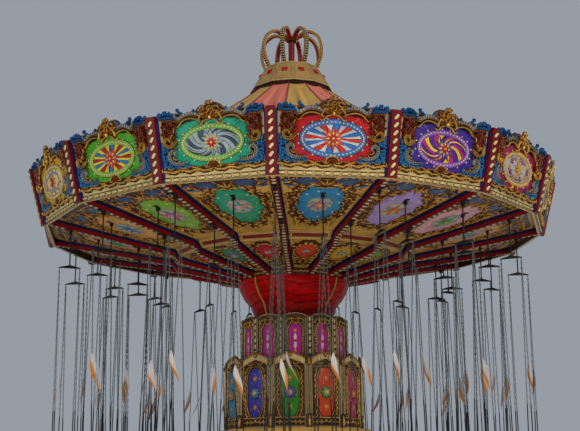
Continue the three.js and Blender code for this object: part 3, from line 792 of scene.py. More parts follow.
def rim_disc(art, kind, colours):
    """The painted disc of a board's medallion: sun rays, a whirl, a wreath or scrolls round a star."""
    pale, deep, accent = (linear(colour) for colour in colours[2:])
    disc = oval(MEDAL_AXES[0] - 0.045, MEDAL_AXES[1] - 0.045, 96)
    if kind < 2:
        twist = 70.0 * kind
        art.rays(MEDAL, disc, [pale, deep, accent] if kind else [pale, deep, pale, accent], 0.036, 0.02, 4,
                 twist)
        lines = [moved(disc[::4], MEDAL, twist * (1 - part), part) for part in np.linspace(1.0, 0.15, 8)]
        art.bands(np.stack(lines, axis=1), 0.006, 0.012, UMBER, 0.04, 40)
        art.plates(MEDAL, (star(12, 0.285, 0.15), 0.1, 0.044, 0.014, UMBER),
                   (star(12, 0.26, 0.13), 0.1, 0.06, 0.01, tones(colours[4], 0.35, 0.1)),
                   (star(8, 0.19, 0.09), 0.2, 0.066, 0.016, tones("#d39a24", 0.25)))
        rosette(art, MEDAL, 0.1, 8, "#a81c14", GOLD, 0.078)
        return
    art.plates(MEDAL, (disc, 0.05, 0.03, 0.03, tones(colours[2], 0.5, 0.05)))
    ring, garland = oval(0.4, 0.19, 10) + MEDAL, oval(0.4, 0.19, 61) + MEDAL
    if kind == 2:
        wreath = scrolls_along(garland, spine((-0.1, 0.0), 8, 0.2, -0.3, 11), 10, 0.03, 16)
        art.leaves(wreath, 0.046, 0.02, shades(colours[3]), 2, 0.052)
        for turn, point in enumerate(ring):
            rosette(art, point, 0.058, 6, colours[4 if turn % 2 else 3], GOLD, 0.056)
    else:
        art.bands(scrolls_along(garland, scroll(0.34, 3.4, -2.8, 15), 9), 0.03, 0.016, shades(colours[3]),
                  0.052)
        art.domes(ring, 0.03, 0.03, 0.018, accent, 0.052, 8, 3)
    art.plates(MEDAL, (star(10, 0.25, 0.13), 0.2, 0.052, 0.014, UMBER),
               (star(10, 0.22, 0.1), 0.2, 0.064, 0.014, tones("#d39a24", 0.3)))
    rosette(art, MEDAL, 0.11, 8, colours[4], GOLD, 0.078)


def rim_field():
    """The edge of a board's painted field: a rounded oblong with a ragged edge."""
    return squarish(*FIELD_AXES, 120, 0.62) * (0.98 + 0.04 * np.abs(np.sin(13 * circling(120))))[:, None]


def rim_painting(index, draw):
    """The painted relief of one board: ground, field with stars, and medallion."""
    colours = BOARD_PAINTS[index]
    art = Relief()
    art.plates((0.0, 0.755), (squarish(1.04, 0.545, 80, 0.13), 0.02, -0.004, 0.014, UMBER),
               (rim_field(), 0.03, 0.006, 0.024, tones(colours[0], 0.3, 0.0)))
    ring = oval(*MEDAL_AXES, 60) + MEDAL
    art.sweep(ring, 0.062, 0.012, UMBER, 0.026, STRIP_SECTION, closed=True)
    art.sweep(ring, 0.05, 0.022, shades(colours[1], 0.05, 0.35), 0.026, STRIP_SECTION, closed=True)
    rim_disc(art, (index + 2) % 4 if index > 11 else index % 4, colours)
    around = (np.arange(16) + 0.5) * 2 * math.pi / 16 + draw.uniform(-0.08, 0.08, 16)
    levels = [(1.0, 0.028), (0.7, 0.042), (0.0, 0.044)]
    art.mounds(ellipse(around, 0.7, 0.39) + MEDAL, star(5, 0.028, 0.012), levels, linear("#d8d2b0"))
    return art


def rim_foliage(draw):
    """The coloured carving of one board: azure leaves and curls, russet leaves and dark rosettes."""
    art = Relief()
    azure = spines(11, ((1.0, 0.3), 100, 0.26, 0.9), ((0.98, 0.28), 150, 0.26, -0.6),
                   ((1.03, 0.4), 88, 0.26, 0.7), ((0.82, 0.29), 172, 0.26, 0.5), ((1.03, 0.56), 96, 0.2, 0.8),
                   ((0.64, 0.28), 168, 0.22, -0.3), ((1.02, 0.68), 84, 0.16, -0.8),
                   ((0.95, 0.32), 130, 0.24, 0.2), ((1.0, 0.48), 70, 0.18, -0.6))
    art.leaves(mirrored(azure), 0.042, 0.045, AZURE, 4, 0.008)
    art.curls((0.13, 3.0, 3.0, 7), (0.9, 0.31), (1.045, 0.72), (3, 6), draw, 0.016, 0.055, AZURE, 0.008)
    art.curls((0.12, 3.0, 3.0, 7), (0.5, 0.285), (0.9, 0.345), (6, 2), draw, 0.015, 0.055, AZURE, 0.008)
    russet = strewn(spine((-0.08, 0.0), 0, 0.2, 0.9, 8), (0.76, 0.86), (1.02, 1.26), (3, 5), draw,
                    outside(MEDAL, 0.8, 0.5), (0.8, 1.2))
    art.leaves(mirrored(russet), 0.036, 0.055, RUSSET, 3, 0.008)
    for side in (-1, 1):
        for across, up, size in ((0.83, 1.18, 0.056), (0.96, 1.08, 0.06), (0.84, 0.99, 0.05)):
            rosette(art, (side * across, up), size, 5, "#4c0a06", "#5c3410", 0.06)
    long_tip, short_tip = scroll(0.3, 1.0, 6.5, 19), scroll(0.24, 1.0, 7.0, 19)
    tips = [moved(long_tip, (0.92, 1.365), 10), moved(short_tip, (0.66, 1.4), 35),
            moved(short_tip, (0.83, 1.345), 12, 0.8)]
    art.bands(mirrored(tips), 0.026, 0.06, AZURE, 0.02, 3.0, LEAF_SECTION)
    drops = spines(9, ((0.9, 1.36), 60, 0.1, 1.2), ((0.76, 1.33), 30, 0.16, 0.8),
                   ((0.36, 1.35), 120, 0.1, -1.2), ((1.04, 1.3), 100, 0.12, 0.8),
                   ((0.56, 1.33), 40, 0.12, 0.6))
    art.leaves(mirrored(drops), 0.034, 0.06, AZURE, 2, 0.03)
    return art


def rim_shells():
    """The ribbed scrolls of one board: silver shells at its foot, silver brows and azure wings above, with
    dark lines across them as painted shade in their grooves.
    """
    art = Relief()
    shell = smoothed([(0.5, 0.4), (0.6, 0.37), (0.72, 0.366), (0.82, 0.395), (0.885, 0.465), (0.9, 0.555),
                      (0.85, 0.615), (0.785, 0.6), (0.775, 0.545), (0.815, 0.52)], 31)
    widths = 0.047 * np.sqrt(np.sin(math.pi * np.linspace(0.01, 0.99, 31) ** 0.8))
    art.sweep(mirrored(shell), widths, 0.085, SILVER, 0.012, LEAF_SECTION)
    ribs = ribs_across(shell, np.linspace(0.1, 0.82, 14), 0.042)
    # Painted shade: dark lines across the shell for the grooves between its ribs
    art.bands(mirrored(ribs), 0.007, 0.012, linear("#3c3a36"), 0.084, section=STRIP_SECTION)
    brow = [(0.2, 1.27), (0.28, 1.325), (0.4, 1.35), (0.54, 1.325), (0.66, 1.26), (0.73, 1.3), (0.745, 1.39)]
    wing = [(0.68, 1.2), (0.76, 1.275), (0.87, 1.3), (0.98, 1.29), (1.06, 1.32), (1.08, 1.38), (1.03, 1.4)]
    # The third colour of each row is painted shade in the grooves between the ribs
    for points, paint, groove in ((brow, SILVER, "#2c2a27"), (wing, AZURE, "#0a2440")):
        path = smoothed(points, 25)
        art.bands(mirrored(path), 0.045, 0.075, paint, 0.012, 3.0, LEAF_SECTION)
        ribs = ribs_across(path, np.linspace(0.12, 0.86, 9), 0.034)
        art.bands(mirrored(ribs), 0.007, 0.01, linear(groove), 0.078, section=STRIP_SECTION)
        art.bands(mirrored(path - (0.0, 0.051)), 0.018, 0.06, BRONZE, 0.012, 3.0)
    return art


def rope(start, end, middle, height, pitch, steps):
    """A waving line along u: v = middle + height·(cos a + cos(2.3·a)/3), where a = 2π·u/pitch."""
    u = np.linspace(start, end, steps)
    turn = 2 * math.pi * u / pitch
    return np.stack([u, middle + height * (np.cos(turn) + np.cos(2.3 * turn) / 3)], axis=-1)


def gild_border(art):
    """The border at a board's foot: waving ropes with curls and knobs, a painted shadow under the lower rope,
    and a fan of leaves at the middle.
    """
    low, high = rope(0.0, 1.05, 0.224, 0.019, 0.34, 41), rope(0.17, 0.8, 0.288, 0.016, 0.23, 27)
    low = np.concatenate([low, [(1.075, 0.235), (1.085, 0.265), (1.07, 0.295), (1.045, 0.285)]])
    # Painted shadow: a dark band just under the lower rope
    art.bands(mirrored(low - (0.0, 0.008)), 0.044, 0.012, UMBER, 0.0, 60)
    art.bands(mirrored(low), 0.026, 0.056, GILT, 0.004, 60)
    art.bands(mirrored(high), 0.021, 0.05, BRONZE, 0.004, 20)
    curl = scroll(0.19, 3.2, 3.0, 10)
    curls = [moved(curl, (0.14 + 0.128 * turn, 0.25 + 0.02 * (-1) ** turn), 175 * (turn % 2) + 8)
             for turn in range(8)]
    art.bands(mirrored(curls), 0.019, 0.06, GILT, 0.004)
    knobs = np.stack([0.075 + 0.15 * np.arange(7), np.full(7, 0.197)], axis=-1)
    art.domes(np.concatenate([knobs, knobs * (-1, 1)]), 0.019, 0.017, 0.036, GILT[[1, 1, 2, 2]])
    art.leaves([spine((0.0, 0.25), angle, 0.17, 0.0, 7) for angle in (90, 66, 42, 114, 138)], 0.034, 0.08,
               COPPER, 1)
    art.bands(oval(0.135, 0.14, 25)[:14] + (0.0, 0.265), 0.024, 0.07)


def gild_corners(art, draw):
    """The scrolls along the painted field's ends, and the hooks, curls and leaves of the corners beyond."""
    edge = rim_field() + (0.0, 0.755)
    art.scrolls(np.concatenate([edge[103:], edge[:14]]), (0.15, 2.9, 2.9, 10), 6, 0.02, 0.05, GILT, 0.02,
                0.02)
    curl = smoothed([(0.72, 0.87), (0.76, 0.76), (0.87, 0.7), (0.99, 0.75), (1.0, 0.86), (0.92, 0.9),
                     (0.86, 0.85), (0.89, 0.8)], 21)
    hook = np.array([0.9, 0.81])
    for size, width in ((1.0, 0.015), (0.78, 0.013), (0.56, 0.011)):
        art.bands(mirrored(hook + (curl - hook) * size), width, 0.08, base=0.02)
    art.curls((0.2, 3.0, 3.0, 9), (0.77, 0.92), (1.02, 1.25), (4, 5), draw, 0.02, 0.062, RUSSET * 0.8, 0.012,
              outside(MEDAL, 0.82, 0.47))
    art.curls((0.15, 3.2, 3.2, 8), (0.77, 0.9), (1.03, 1.28), (3, 4), draw, 0.011, 0.075, COPPER * 0.8, 0.014,
              outside(MEDAL, 0.84, 0.48))
    inward = [spine((0.8, level), 180 + 20 * (level - 0.9) / 0.3, 0.11, 0.3 * (-1) ** turn, 7)
              for turn, level in enumerate(np.linspace(0.66, 1.16, 7))]
    art.leaves(mirrored(inward), 0.022, 0.05, BRONZE, 1, 0.02)


def rim_gilding(draw):
    """The gilt carving of one board: its border, its corners, and the brows and the crest at its head."""
    art = Relief()
    gild_border(art)
    gild_corners(art, draw)
    brow = smoothed([(0.21, 1.15), (0.27, 1.215), (0.42, 1.25), (0.57, 1.215), (0.68, 1.1), (0.73, 1.12)], 15)
    hood = smoothed([(0.0, 1.21), (0.07, 1.2), (0.14, 1.17), (0.19, 1.11), (0.25, 1.1), (0.27, 1.15)], 15)
    art.bands(mirrored([brow, hood]), 0.02, 0.075, base=0.02)
    art.bands(mirrored(brow + (0.0, 0.035)), 0.022, 0.06, UMBER, 0.016)
    crest = [(1.1, 1.25), (1.08, 1.31), (0.98, 1.358), (0.85, 1.368), (0.72, 1.368), (0.6, 1.345),
             (0.47, 1.318), (0.38, 1.345), (0.3, 1.392), (0.24, 1.45), (0.19, 1.51)]
    art.bands(mirrored(crest), 0.014, 0.05, BRONZE, 0.0, 12)
    return art


def rim_flame(draw):
    """The gilt acanthus at a board's head: broad lobed leaves under curls, with a hooked tip."""
    art = Relief()
    foot = (0.0, 1.25)
    fan = spines(15, (foot, 90, 0.34, 0.0), (foot, 60, 0.33, -0.5), (foot, 120, 0.33, 0.5),
                 (foot, 34, 0.31, -0.5), (foot, 146, 0.31, 0.5), (foot, 10, 0.27, -0.5),
                 (foot, 170, 0.27, 0.5))
    art.leaves(fan, 0.082, 0.05, BRONZE, 3, 0.012)
    tree = strewn(scroll(0.17, 3.3, 3.0, 10), (-0.3, 1.27), (0.3, 1.56), (6, 4), draw,
                  lambda places: np.abs(places[:, 0]) < 0.3 - 0.82 * (places[:, 1] - 1.26))
    art.bands(tree, 0.022, 0.05, BRONZE, 0.05)
    art.bands(np.stack(tree[::2]) + (0.006, 0.004), 0.012, 0.066, GILT, 0.05)
    art.leaves(spine((0.0, 1.47), 96, 0.15, -1.9, 11), 0.04, 0.05, GILT * 0.8, 1, 0.05)
    art.bands(mirrored(moved(scroll(0.3, 3.4, 3.4, 15), (0.21, 1.27), 120)), 0.024, 0.09, GILT, 0.02)
    art.domes((0.0, 1.235), 0.042, 0.055, 0.1, GILT[[0, 1, 2, 2]], 0.03)
    return art


def rim_moulding():
    """The plain mouldings of one board's foot: a brown bead and, under a dark line, a row of oblong eggs,
    each in a painted shadow with painted shade at its edge and a painted highlight on its top.
    """
    art = Relief()
    art.lines((-1.06, 0.012), (1.06, 0.012), 0.012, 0.02, shades("#8c6c38", 0.2, 0.3), blunt=30)
    art.lines((-1.07, 0.11), (1.07, 0.11), 0.006, 0.01, UMBER, blunt=40)
    eggs = np.stack([np.linspace(-0.99, 0.99, 12), np.full(12, 0.066)], axis=-1)
    outline = blunted(oval(0.074, 0.03, 16), 0.074, 0.6)
    # Painted shadow: a dark rim round each egg
    art.mounds(eggs, outline * (1.07, 1.2), SUNK, UMBER)
    # Painted shade and highlight: each egg darker at its edge and lighter on its top
    cream, light = linear("#c2a868"), linear("#d2bb80")
    levels = [(1.0, 0.004), (0.92, 0.026), (0.6, 0.036), (0.0, 0.04)]
    art.mounds(eggs, outline, levels, np.stack([cream * 0.7, cream, light, light]))
    return art


def make_rim_boards(settings):
    """The carved, gilt and painted boards round the canopy's edge."""
    draw = np.random.default_rng(7)
    foliage, gilding, flame = rim_foliage(draw), rim_gilding(draw), rim_flame(draw)
    painting, lamps, lining = Relief(), Relief(), Relief()
    for index, place in enumerate(RIM_PLACES):
        painting.stamp(rim_painting(index, draw), place)
    radius = settings.lamp_radius
    lamps.domes(oval(*MEDAL_AXES, LAMP_COUNT) + MEDAL, radius, radius, radius * 1.5, WHITE, 0.044)
    make_piece("rim_painting", [(painting, "enamel")], "canopy")
    for name, pattern, finish, slot in (("rim_foliage", foliage, "enamel", "gilt_paint"),
                                        ("rim_shells", rim_shells(), "enamel", "gilt_paint"),
                                        ("rim_gilding", gilding, "gilt", "gilt_paint"),
                                        ("rim_flames", flame, "gilt", "gilt_paint"),
                                        ("rim_moulding", rim_moulding(), "enamel", "cream_paint"),
                                        ("rim_lamps", lamps, "lamp", "cream_paint")):
        make_piece(name, [(repeated(pattern, RIM_PLACES), finish)], "canopy")
    lining.mounds((0.0, 0.13), squarish(1.08, 0.12, power=0.1), SUNK, linear("#34180c"))
    backs = []
    for azimuth in middles(CANOPY_SIDES, CANOPY_TURN):
        outward, sideways = directions(azimuth)
        origin = outward * (RIM_RADIUS - 0.05) * squareness(CANOPY_SIDES) + UP * RIM_FOOT
        backs.append(plane(origin, -sideways, UP))
    make_piece("rim_lining", [(repeated(lining, backs), "enamel")], "canopy")
    finish_node("rim_boards", "boards")


# Mullions

def make_mullions(settings):
    """Red cases over the boards' joints, with navy strips beside them and a row of slanted lamps, each on a
    painted shadow.
    """
    rise = 0.07 / (RIM_HEAD - RIM_FOOT)
    flare, height = RIM_FLARE * (1 + rise), RIM_HEAD - RIM_FOOT + 0.07
    lean, length = math.atan2(flare, height), math.hypot(flare, height)
    depth = MULLION_DEPTH / 2
    case, strips, lamps = Relief(), Relief(), Relief()
    path = [(0, -0.002), (0, -0.001), (0, length - 0.009), (0, length - 0.008)]
    ends = np.array([0.0, 1.0, 1.0, 0.0])
    case.sweep(path, (MULLION_WIDTH / 2 + 0.001) * ends, (depth + 0.001) * ends, np.array(settings.red) * 0.6,
               -depth, SQUARE_SECTION)
    for side in (-0.115, 0.115):
        line, sizes = capped([(side, 0.01), (side, length - 0.05)])
        strips.sweep(line, 0.017 * sizes, 0.036 * sizes, linear("#08236c"), -0.102, SQUARE_SECTION)
    centres = np.stack([np.zeros(8), 0.095 + (length - 0.235) * np.arange(8) / 7], axis=-1)
    slanted = moved(squarish(0.064, 0.03, 14, 0.7), (0, 0), 50)
    # Painted shadow: a dark patch a little larger than each lamp, under it
    lamp_shadow = moved(squarish(0.08, 0.045, 14, 0.7), (0, 0), 50)
    lamps.mounds(centres, slanted, [(1.0, 0.004), (0.92, 0.02), (0.6, 0.027), (0.0, 0.029)], WHITE)
    strips.plates(centres, (lamp_shadow, 0.2, 0.0, 0.006, linear("#140404")))
    foot = MULLION_RADIUS + depth * math.cos(lean), RIM_FOOT - depth * math.sin(lean)
    places = [on_side(azimuth, *foot, lean) for azimuth in corners(CANOPY_SIDES, CANOPY_TURN)]
    make_piece("mullion_cases", [(repeated(case, places), "enamel")], "canopy")
    make_piece("mullion_edges", [(repeated(strips, places), "enamel")], "canopy")
    make_piece("mullion_lamps", [(repeated(lamps, places), "lamp")], "canopy")


def ring_azimuths(on_beam):
    """The azimuths of a ring's chairs: at the beams, or between them."""
    return corners(CANOPY_SIDES, CANOPY_TURN) if on_beam else middles(CANOPY_SIDES, CANOPY_TURN)


def ring_reach(radius, on_beam):
    """A ring's distance from the axis. Between the beams it is measured square to the canopy's side."""
    return radius if on_beam else radius * squareness(CANOPY_SIDES)


# Ceiling: panels between the beams, in coordinates that widen outwards

def soffit_height(radius):
    """The height of the outer panels at a corner radius."""
    return RISER_OUTER[1] + (radius - RISER_OUTER[0]) * SOFFIT_SLOPE


def ring_face(radius, on_beam):
    """The height of the beam or ceiling that a ring's chairs hang from."""
    return soffit_height(radius) - (BEAM_DEPTH if on_beam else 0.0)


def slope_place(azimuth, foot, head):
    """A place on the plane through two (distance, height) points at an azimuth, and their distance."""
    lean = math.atan2(head[0] - foot[0], head[1] - foot[1])
    return on_side(azimuth, foot[0], foot[1], lean), math.dist(foot, head)


def widening(place, foot, head, length, reference):
    """The same place, with u widened as v grows so that u = reference is the panel's edge."""
    def widened(points):
        scale = (foot + (head - foot) * points[:, 1:2] / length) / reference
        return place(np.concatenate([points[:, :1] * scale, points[:, 1:]], axis=1))
    return widened


def ceiling_places(foot, head, reference):
    """Places on all panels between two corner (radius, height) pairs, clear of the beams."""
    flat = squareness(CANOPY_SIDES)
    wide = math.sin(math.pi / CANOPY_SIDES)
    beam = BEAM_WIDTH / 2 + 0.002
    inner, outer = (foot[0] * flat, foot[1]), (head[0] * flat, head[1])
    places = []
    for azimuth in middles(CANOPY_SIDES, CANOPY_TURN):
        place, length = slope_place(azimuth, inner, outer)
        places.append(widening(place, foot[0] * wide - beam, head[0] * wide - beam, length, reference))
    return places


def rough_oval(across, up, columns, draw, depth=0.14, teeth=0.0):
    """An ellipse with a wandering edge: reach = 1 + depth·(three cosines)/3 + teeth·(|sin 15a| - 0.5)."""
    angle = circling(columns, -math.pi / 2)
    phases = draw.uniform(0, 2 * math.pi, 3)
    folded = np.abs((angle + math.pi / 2 + math.pi) % (2 * math.pi) - math.pi)
    waves = sum(np.cos(count * folded + phase) for count, phase in zip((5, 9, 14), phases)) / 3
    reach = 1 + depth * waves + teeth * (np.abs(np.sin(15 * folded)) - 0.5)
    return ellipse(angle, across * reach, up * reach)


OUTER_MIDDLE = np.array([0.0, 1.4])


def outer_painting(index, draw):
    """The paint of one outer ceiling panel, and the outline of its coloured field."""
    art, middle = Relief(), OUTER_MIDDLE
    art.mounds(middle, rough_oval(0.76, 1.12, 120, draw, 0.1, 0.1), lens(0.03, 0.0, 0.006), GROUND)
    art.mounds([(-0.4, 2.5), (0.4, 2.5)], rough_oval(0.38, 0.36, 60, draw, 0.14, 0.1),
               lens(0.05, 0.001, 0.007), GROUND)
    art.mounds((0.0, 2.68), oval(0.76, 0.16, 70, 18, 0.12), lens(0.05, 0.002, 0.008), GROUND)
    field = rough_oval(0.5, 0.82, 96, draw, 0.12, 0.07)
    art.mounds(middle, field, lens(0.06, 0.006, 0.014), tones(SOFFIT_PAINTS[index], 0.55, 0.03))
    art.mounds([(-0.36, 2.44), (0.36, 2.44)], rough_oval(0.19, 0.17, 50, draw, 0.3, 0.2),
               lens(0.1, 0.007, 0.01), tones("#1f4670", 0.45, 0.02))
    art.plates(middle, (oval(0.33, 0.4, 50, 10, 0.12), 0.08, 0.012, 0.012, UMBER),
               (oval(0.31, 0.37, 50, 10, 0.12), 0.08, 0.018, 0.012, tones("#a5a794", 0.45, 0.1)))
    swirl = [moved(scroll(0.34, 4.2, 3.2, 17), (0.13, 1.4), angle) for angle in (60, 240)]
    art.bands(mirrored(swirl), 0.036, 0.012, shades(SOFFIT_PAINTS[(index + 5) % CANOPY_SIDES], 0.1), 0.03)
    petals = [spine(middle, angle, 0.3, 0.0, 11) for angle in range(30, 390, 60)]
    art.leaves(petals, 0.05, 0.02, shades(SOFFIT_PAINTS[(index + 9) % CANOPY_SIDES], 0.1), 1, 0.028)
    rosette(art, middle, 0.12, 8, SOFFIT_PAINTS[(index + 3) % CANOPY_SIDES], GOLD, 0.04)
    spots = np.array([(0.3, 1.9), (-0.32, 1.86), (0.38, 1.05), (-0.36, 0.98), (0.05, 0.8), (-0.1, 2.0),
                      (0.42, 1.5)])
    art.mounds(spots, star(5, 0.035, 0.016), [(1.0, 0.018), (0.6, 0.026), (0.0, 0.027)], linear("#cfcbb2"))
    wings = [spine((0.78, 2.3), 200, 0.3, -0.9), spine((0.8, 2.45), 150, 0.26, 0.8)]
    art.leaves(mirrored(wings), 0.045, 0.03, shades("#1a4c78", 0.2), 4, 0.004)
    return art, field


def outer_gilding(field):
    """The gilt scrolls, leaves and edge of one outer ceiling panel."""
    gilt = Relief()
    right = field[: len(field) // 2 + 1] + OUTER_MIDDLE
    gilt.scrolls(right, (0.23, 2.9, 2.9, 13), 11, 0.026, 0.03, GILT * 0.75, 0.004, 0.075, 12)
    gilt.scrolls(right, (0.17, -2.6, -2.6, 11), 13, 0.02, 0.026, BRONZE, 0.004, 0.17, 18)
    gilt.scrolls(straight((0.05, 2.7), (0.76, 2.66), 5), (0.15, 2.8, -2.8, 11), 5, 0.022, 0.026, GILT, 0.006)
    gilt.scrolls(oval(0.25, 0.24, 41) + (0.37, 2.45), (0.14, 2.6, 2.6, 9), 8, 0.02, 0.026, BRONZE, 0.006)
    long_leaves = spines(21, ((0.62, 0.55), 250, 0.3, 0.8), ((0.7, 1.9), 290, 0.34, -0.9),
                         ((0.76, 1.5), 250, 0.3, 0.9), ((0.3, 0.42), 200, 0.28, 0.6))
    gilt.leaves(mirrored(long_leaves), 0.05, 0.03, GILT, 4, 0.003)
    gilt.leaves([spine((0.0, 2.3), angle, 0.24, 0.0, 13) for angle in (90, 55, 125)], 0.04, 0.03, GILT, 3,
                0.006)
    line = np.array([(0.0, 0.06), (0.81, 0.06), (0.81, 0.1), (0.81, 2.86), (0.81, 2.9), (0.0, 2.9)])
    gilt.bands(mirrored(line), 0.01, 0.012, BRONZE, 0.0, 40)
    return gilt


def outer_ceiling(index, draw):
    """The paint, the gilding and the small scrolls of one outer ceiling panel; half its width is 0.85."""
    art, field = outer_painting(index, draw)
    small = Relief()
    field_free, ground_held = outside(OUTER_MIDDLE, 0.56, 0.86), outside(OUTER_MIDDLE, 0.8, 1.16)
    dull_gilt = np.stack([GILT[0], GILT[1], linear("#d39a3c"), GILT[3], GILT[4]])
    small.curls((0.17, 3.0, 3.0, 8), (0.06, 0.3), (0.78, 2.75), (5, 9), draw, 0.017, 0.03, dull_gilt, 0.006,
                lambda places: field_free(places) & ((places[:, 1] > 2.1) | ~ground_held(places)))
    return art, outer_gilding(field), small


def inner_ceiling(index, draw):
    """The paint, the gilding and the small scrolls of one inner ceiling panel; half its width is 0.36."""
    art, gilt, small = Relief(), Relief(), Relief()
    middle = np.array([0.0, 0.95])
    art.mounds(middle, rough_oval(0.33, 0.56, 90, draw, 0.06, 0.08), lens(0.04, 0.0, 0.006), GROUND)
    field = rough_oval(0.23, 0.37, 60, draw, 0.14, 0.1)
    colour = INNER_PAINTS[index % len(INNER_PAINTS)]
    art.mounds(middle, field, lens(0.08, 0.006, 0.012), tones(colour, 0.45, 0.02))
    petals = [spine(middle, angle, 0.17, 0.0, 9) for angle in range(0, 360, 60)]
    art.leaves(petals, 0.034, 0.012, shades(INNER_PAINTS[(index + 5) % len(INNER_PAINTS)], 0.2), 1, 0.018)
    rosette(art, middle, 0.09, 8, "#a5a794", INNER_PAINTS[(index + 3) % len(INNER_PAINTS)], 0.022)
    art.mounds((0.0, 0.3), oval(0.3, 0.2, 40, 8, 0.14), lens(0.05, 0.002, 0.006), GROUND)
    right = field[: len(field) // 2 + 1] + middle
    gilt.scrolls(right, (0.12, 2.8, 2.8, 11), 8, 0.016, 0.022, GILT, 0.004, 0.04, 14)
    gilt.bands(mirrored(moved(scroll(0.16, 3.6, 3.2, 13), (0.1, 0.34), 70)), 0.018, 0.02, GILT, 0.004)
    line = np.array([(0.0, 0.05), (0.33, 0.05), (0.33, 0.08), (0.33, 1.48), (0.33, 1.51), (0.0, 1.51)])
    gilt.bands(mirrored(line), 0.009, 0.01, BRONZE, 0.0, 40)
    small.curls((0.1, 3.0, 3.0, 8), (0.03, 0.12), (0.31, 1.46), (3, 9), draw, 0.012, 0.024, GILT, 0.005,
                outside(middle, 0.25, 0.4))
    return art, gilt, small


def riser_panel():
    """A sunk red bar with a gilt scroll at each end, on the upright step between the ceilings."""
    art, gilt = Relief(), Relief()
    bar = straight((-0.4, 0.095), (0.4, 0.095), 5)
    art.bands(bar, 0.042, 0.004, UMBER, 0.0, 30, STRIP_SECTION)
    art.bands(bar, 0.033, 0.01, linear("#7c0204"), 0.0, 30, STRIP_SECTION)
    gilt.bands(mirrored(moved(scroll(0.1, 3.4, 3.4, 13), (0.45, 0.095), 90)), 0.017, 0.024)
    for level in (0.03, 0.16):
        art.bands(straight((-0.55, level), (0.55, level), 5), 0.012, 0.016, shades("#c9a860", 0.2, 0.4), 0.0,
                  40)
    return art, gilt


def make_ceiling():
    """The painted and gilt panels under the canopy."""
    draw = np.random.default_rng(11)
    painting, gilding, scrolls = Relief(), Relief(), Relief()
    edge = RIM_RADIUS - 0.06
    outer = ceiling_places(RISER_OUTER, (edge, soffit_height(edge)), 0.85)
    inner = ceiling_places(SOFFIT_INNER, RISER_INNER, 0.36)
    riser = ceiling_places(RISER_INNER, RISER_OUTER, 0.5)
    step = riser_panel()
    for index in range(CANOPY_SIDES):
        for panel, place in ((outer_ceiling(index, draw), outer[index]),
                             (inner_ceiling(index, draw), inner[index]), (step, riser[index])):
            for piece, art in zip((painting, gilding, scrolls), panel):
                piece.stamp(art, place)
    make_piece("ceiling_painting", [(painting, "enamel")], "canopy")
    make_piece("ceiling_gilding", [(gilding, "gilt")], "canopy")
    make_piece("ceiling_scrolls", [(scrolls, "gilt")], "canopy")
    finish_node("soffit_panels", "cream")


# Beams

def beam_stripe(length):
    """The navy stripes at the head of both of a beam's webs and on the ceiling beside them."""
    art = Relief()
    path, sizes = capped(np.linspace((0.0, 0.0), (0.0, length), 2))
    for beside_web, height, depth in ((0.005, 0.034, 0.036), (0.032, 0.008, 0.009)):
        art.sweep(path, (BEAM_WIDTH / 2 + beside_web) * sizes, height * sizes, linear("#071344"), depth,
                  SQUARE_SECTION)
    return art


def beam_ribs(start, end, depth, pitch):
    """Cream ribs across a dark strip under a beam, between two distances along it."""
    art = Relief()
    path, sizes = capped(np.linspace((0.0, start), (0.0, end), 2))
    art.sweep(path, 0.052 * sizes, 0.004 * sizes, linear("#120605"), depth, SQUARE_SECTION)
    count = max(1, round((end - start) / pitch))
    steps = start + (np.arange(count) + 0.5) * (end - start) / count
    rib = blunted(oval(0.05, 0.24 * pitch, 14), 0.05, 0.5)
    levels = [(1.0, depth), (0.94, depth + 0.014), (0.6, depth + 0.019), (0.0, depth + 0.02)]
    art.mounds(np.stack([np.zeros(count), steps], axis=-1), rib, levels, tones("#c0a478", 0.4, 0.1))
    return art


def hanger_parts():
    """A black hanger under a beam: a plate, a funnel-shaped block and two cheeks beside the chair's eye."""
    art = Relief()
    black = linear("#1b1c1f")
    plate = [(1.0, -0.02), (1.0, 0.006), (0.9, 0.012), (0.0, 0.012)]
    block = [(1.5, 0.0), (1.02, 0.03), (1.0, 0.0405), (0.0, 0.0405)]
    cheek = [(1.0, 0.0), (1.0, 0.07), (0.7, 0.098), (0.0, 0.098)]
    art.mounds((0.0, 0.0), SQUARE * (0.056, 0.118), plate, black)
    art.mounds((0.0, 0.0), SQUARE * 0.034, block, black)
    art.mounds([(-0.037, 0.0), (0.037, 0.0)], SQUARE * (0.003, 0.03), cheek, black)
    return art


def dress_beam(dressing, azimuth):
    """Adds the stripes and the ribs of the beam at an azimuth. The ribs leave room for the hangers."""
    edge = RIM_RADIUS - 0.065
    spots = sorted((radius - RISER_OUTER[0]) * math.hypot(1, SOFFIT_SLOPE) for _, radius, on_beam in RINGS
                   if on_beam)
    for foot, head, pitch, breaks in (
            (SOFFIT_INNER, RISER_INNER, RIB_PITCH, []), (RISER_INNER, RISER_OUTER, RISER_PITCH, []),
            (RISER_OUTER, (edge, soffit_height(edge)), RIB_PITCH, spots)):
        place, length = slope_place(azimuth, foot, head)
        depth = BEAM_DEPTH * (head[0] - foot[0]) / length
        shift = BEAM_DEPTH * (head[1] - foot[1]) / length
        starts = [0.0] + [spot + HANGER_ROOM for spot in breaks]
        ends = [spot - HANGER_ROOM for spot in breaks] + [length]
        dressing.stamp(beam_stripe(length), place)
        for start, end in zip(starts, ends):
            dressing.stamp(beam_ribs(start - shift, end - shift, depth, pitch), place)


def skirt_frieze():
    """The dark strip with gilt scrolls over one side of the skirt."""
    art = Relief()
    half = FRIEZE_RADIUS * math.sin(math.pi / CANOPY_SIDES)
    middle, end = (0.0, 0.085), (half, 0.085)
    art.lines((-half, 0.085), end, 0.075, 0.006, GROUND, section=STRIP_SECTION)
    art.scrolls(straight(middle, end, 5), (0.13, 3.1, -3.1, 11), 3, 0.014, 0.022, GILT, 0.004)
    return art


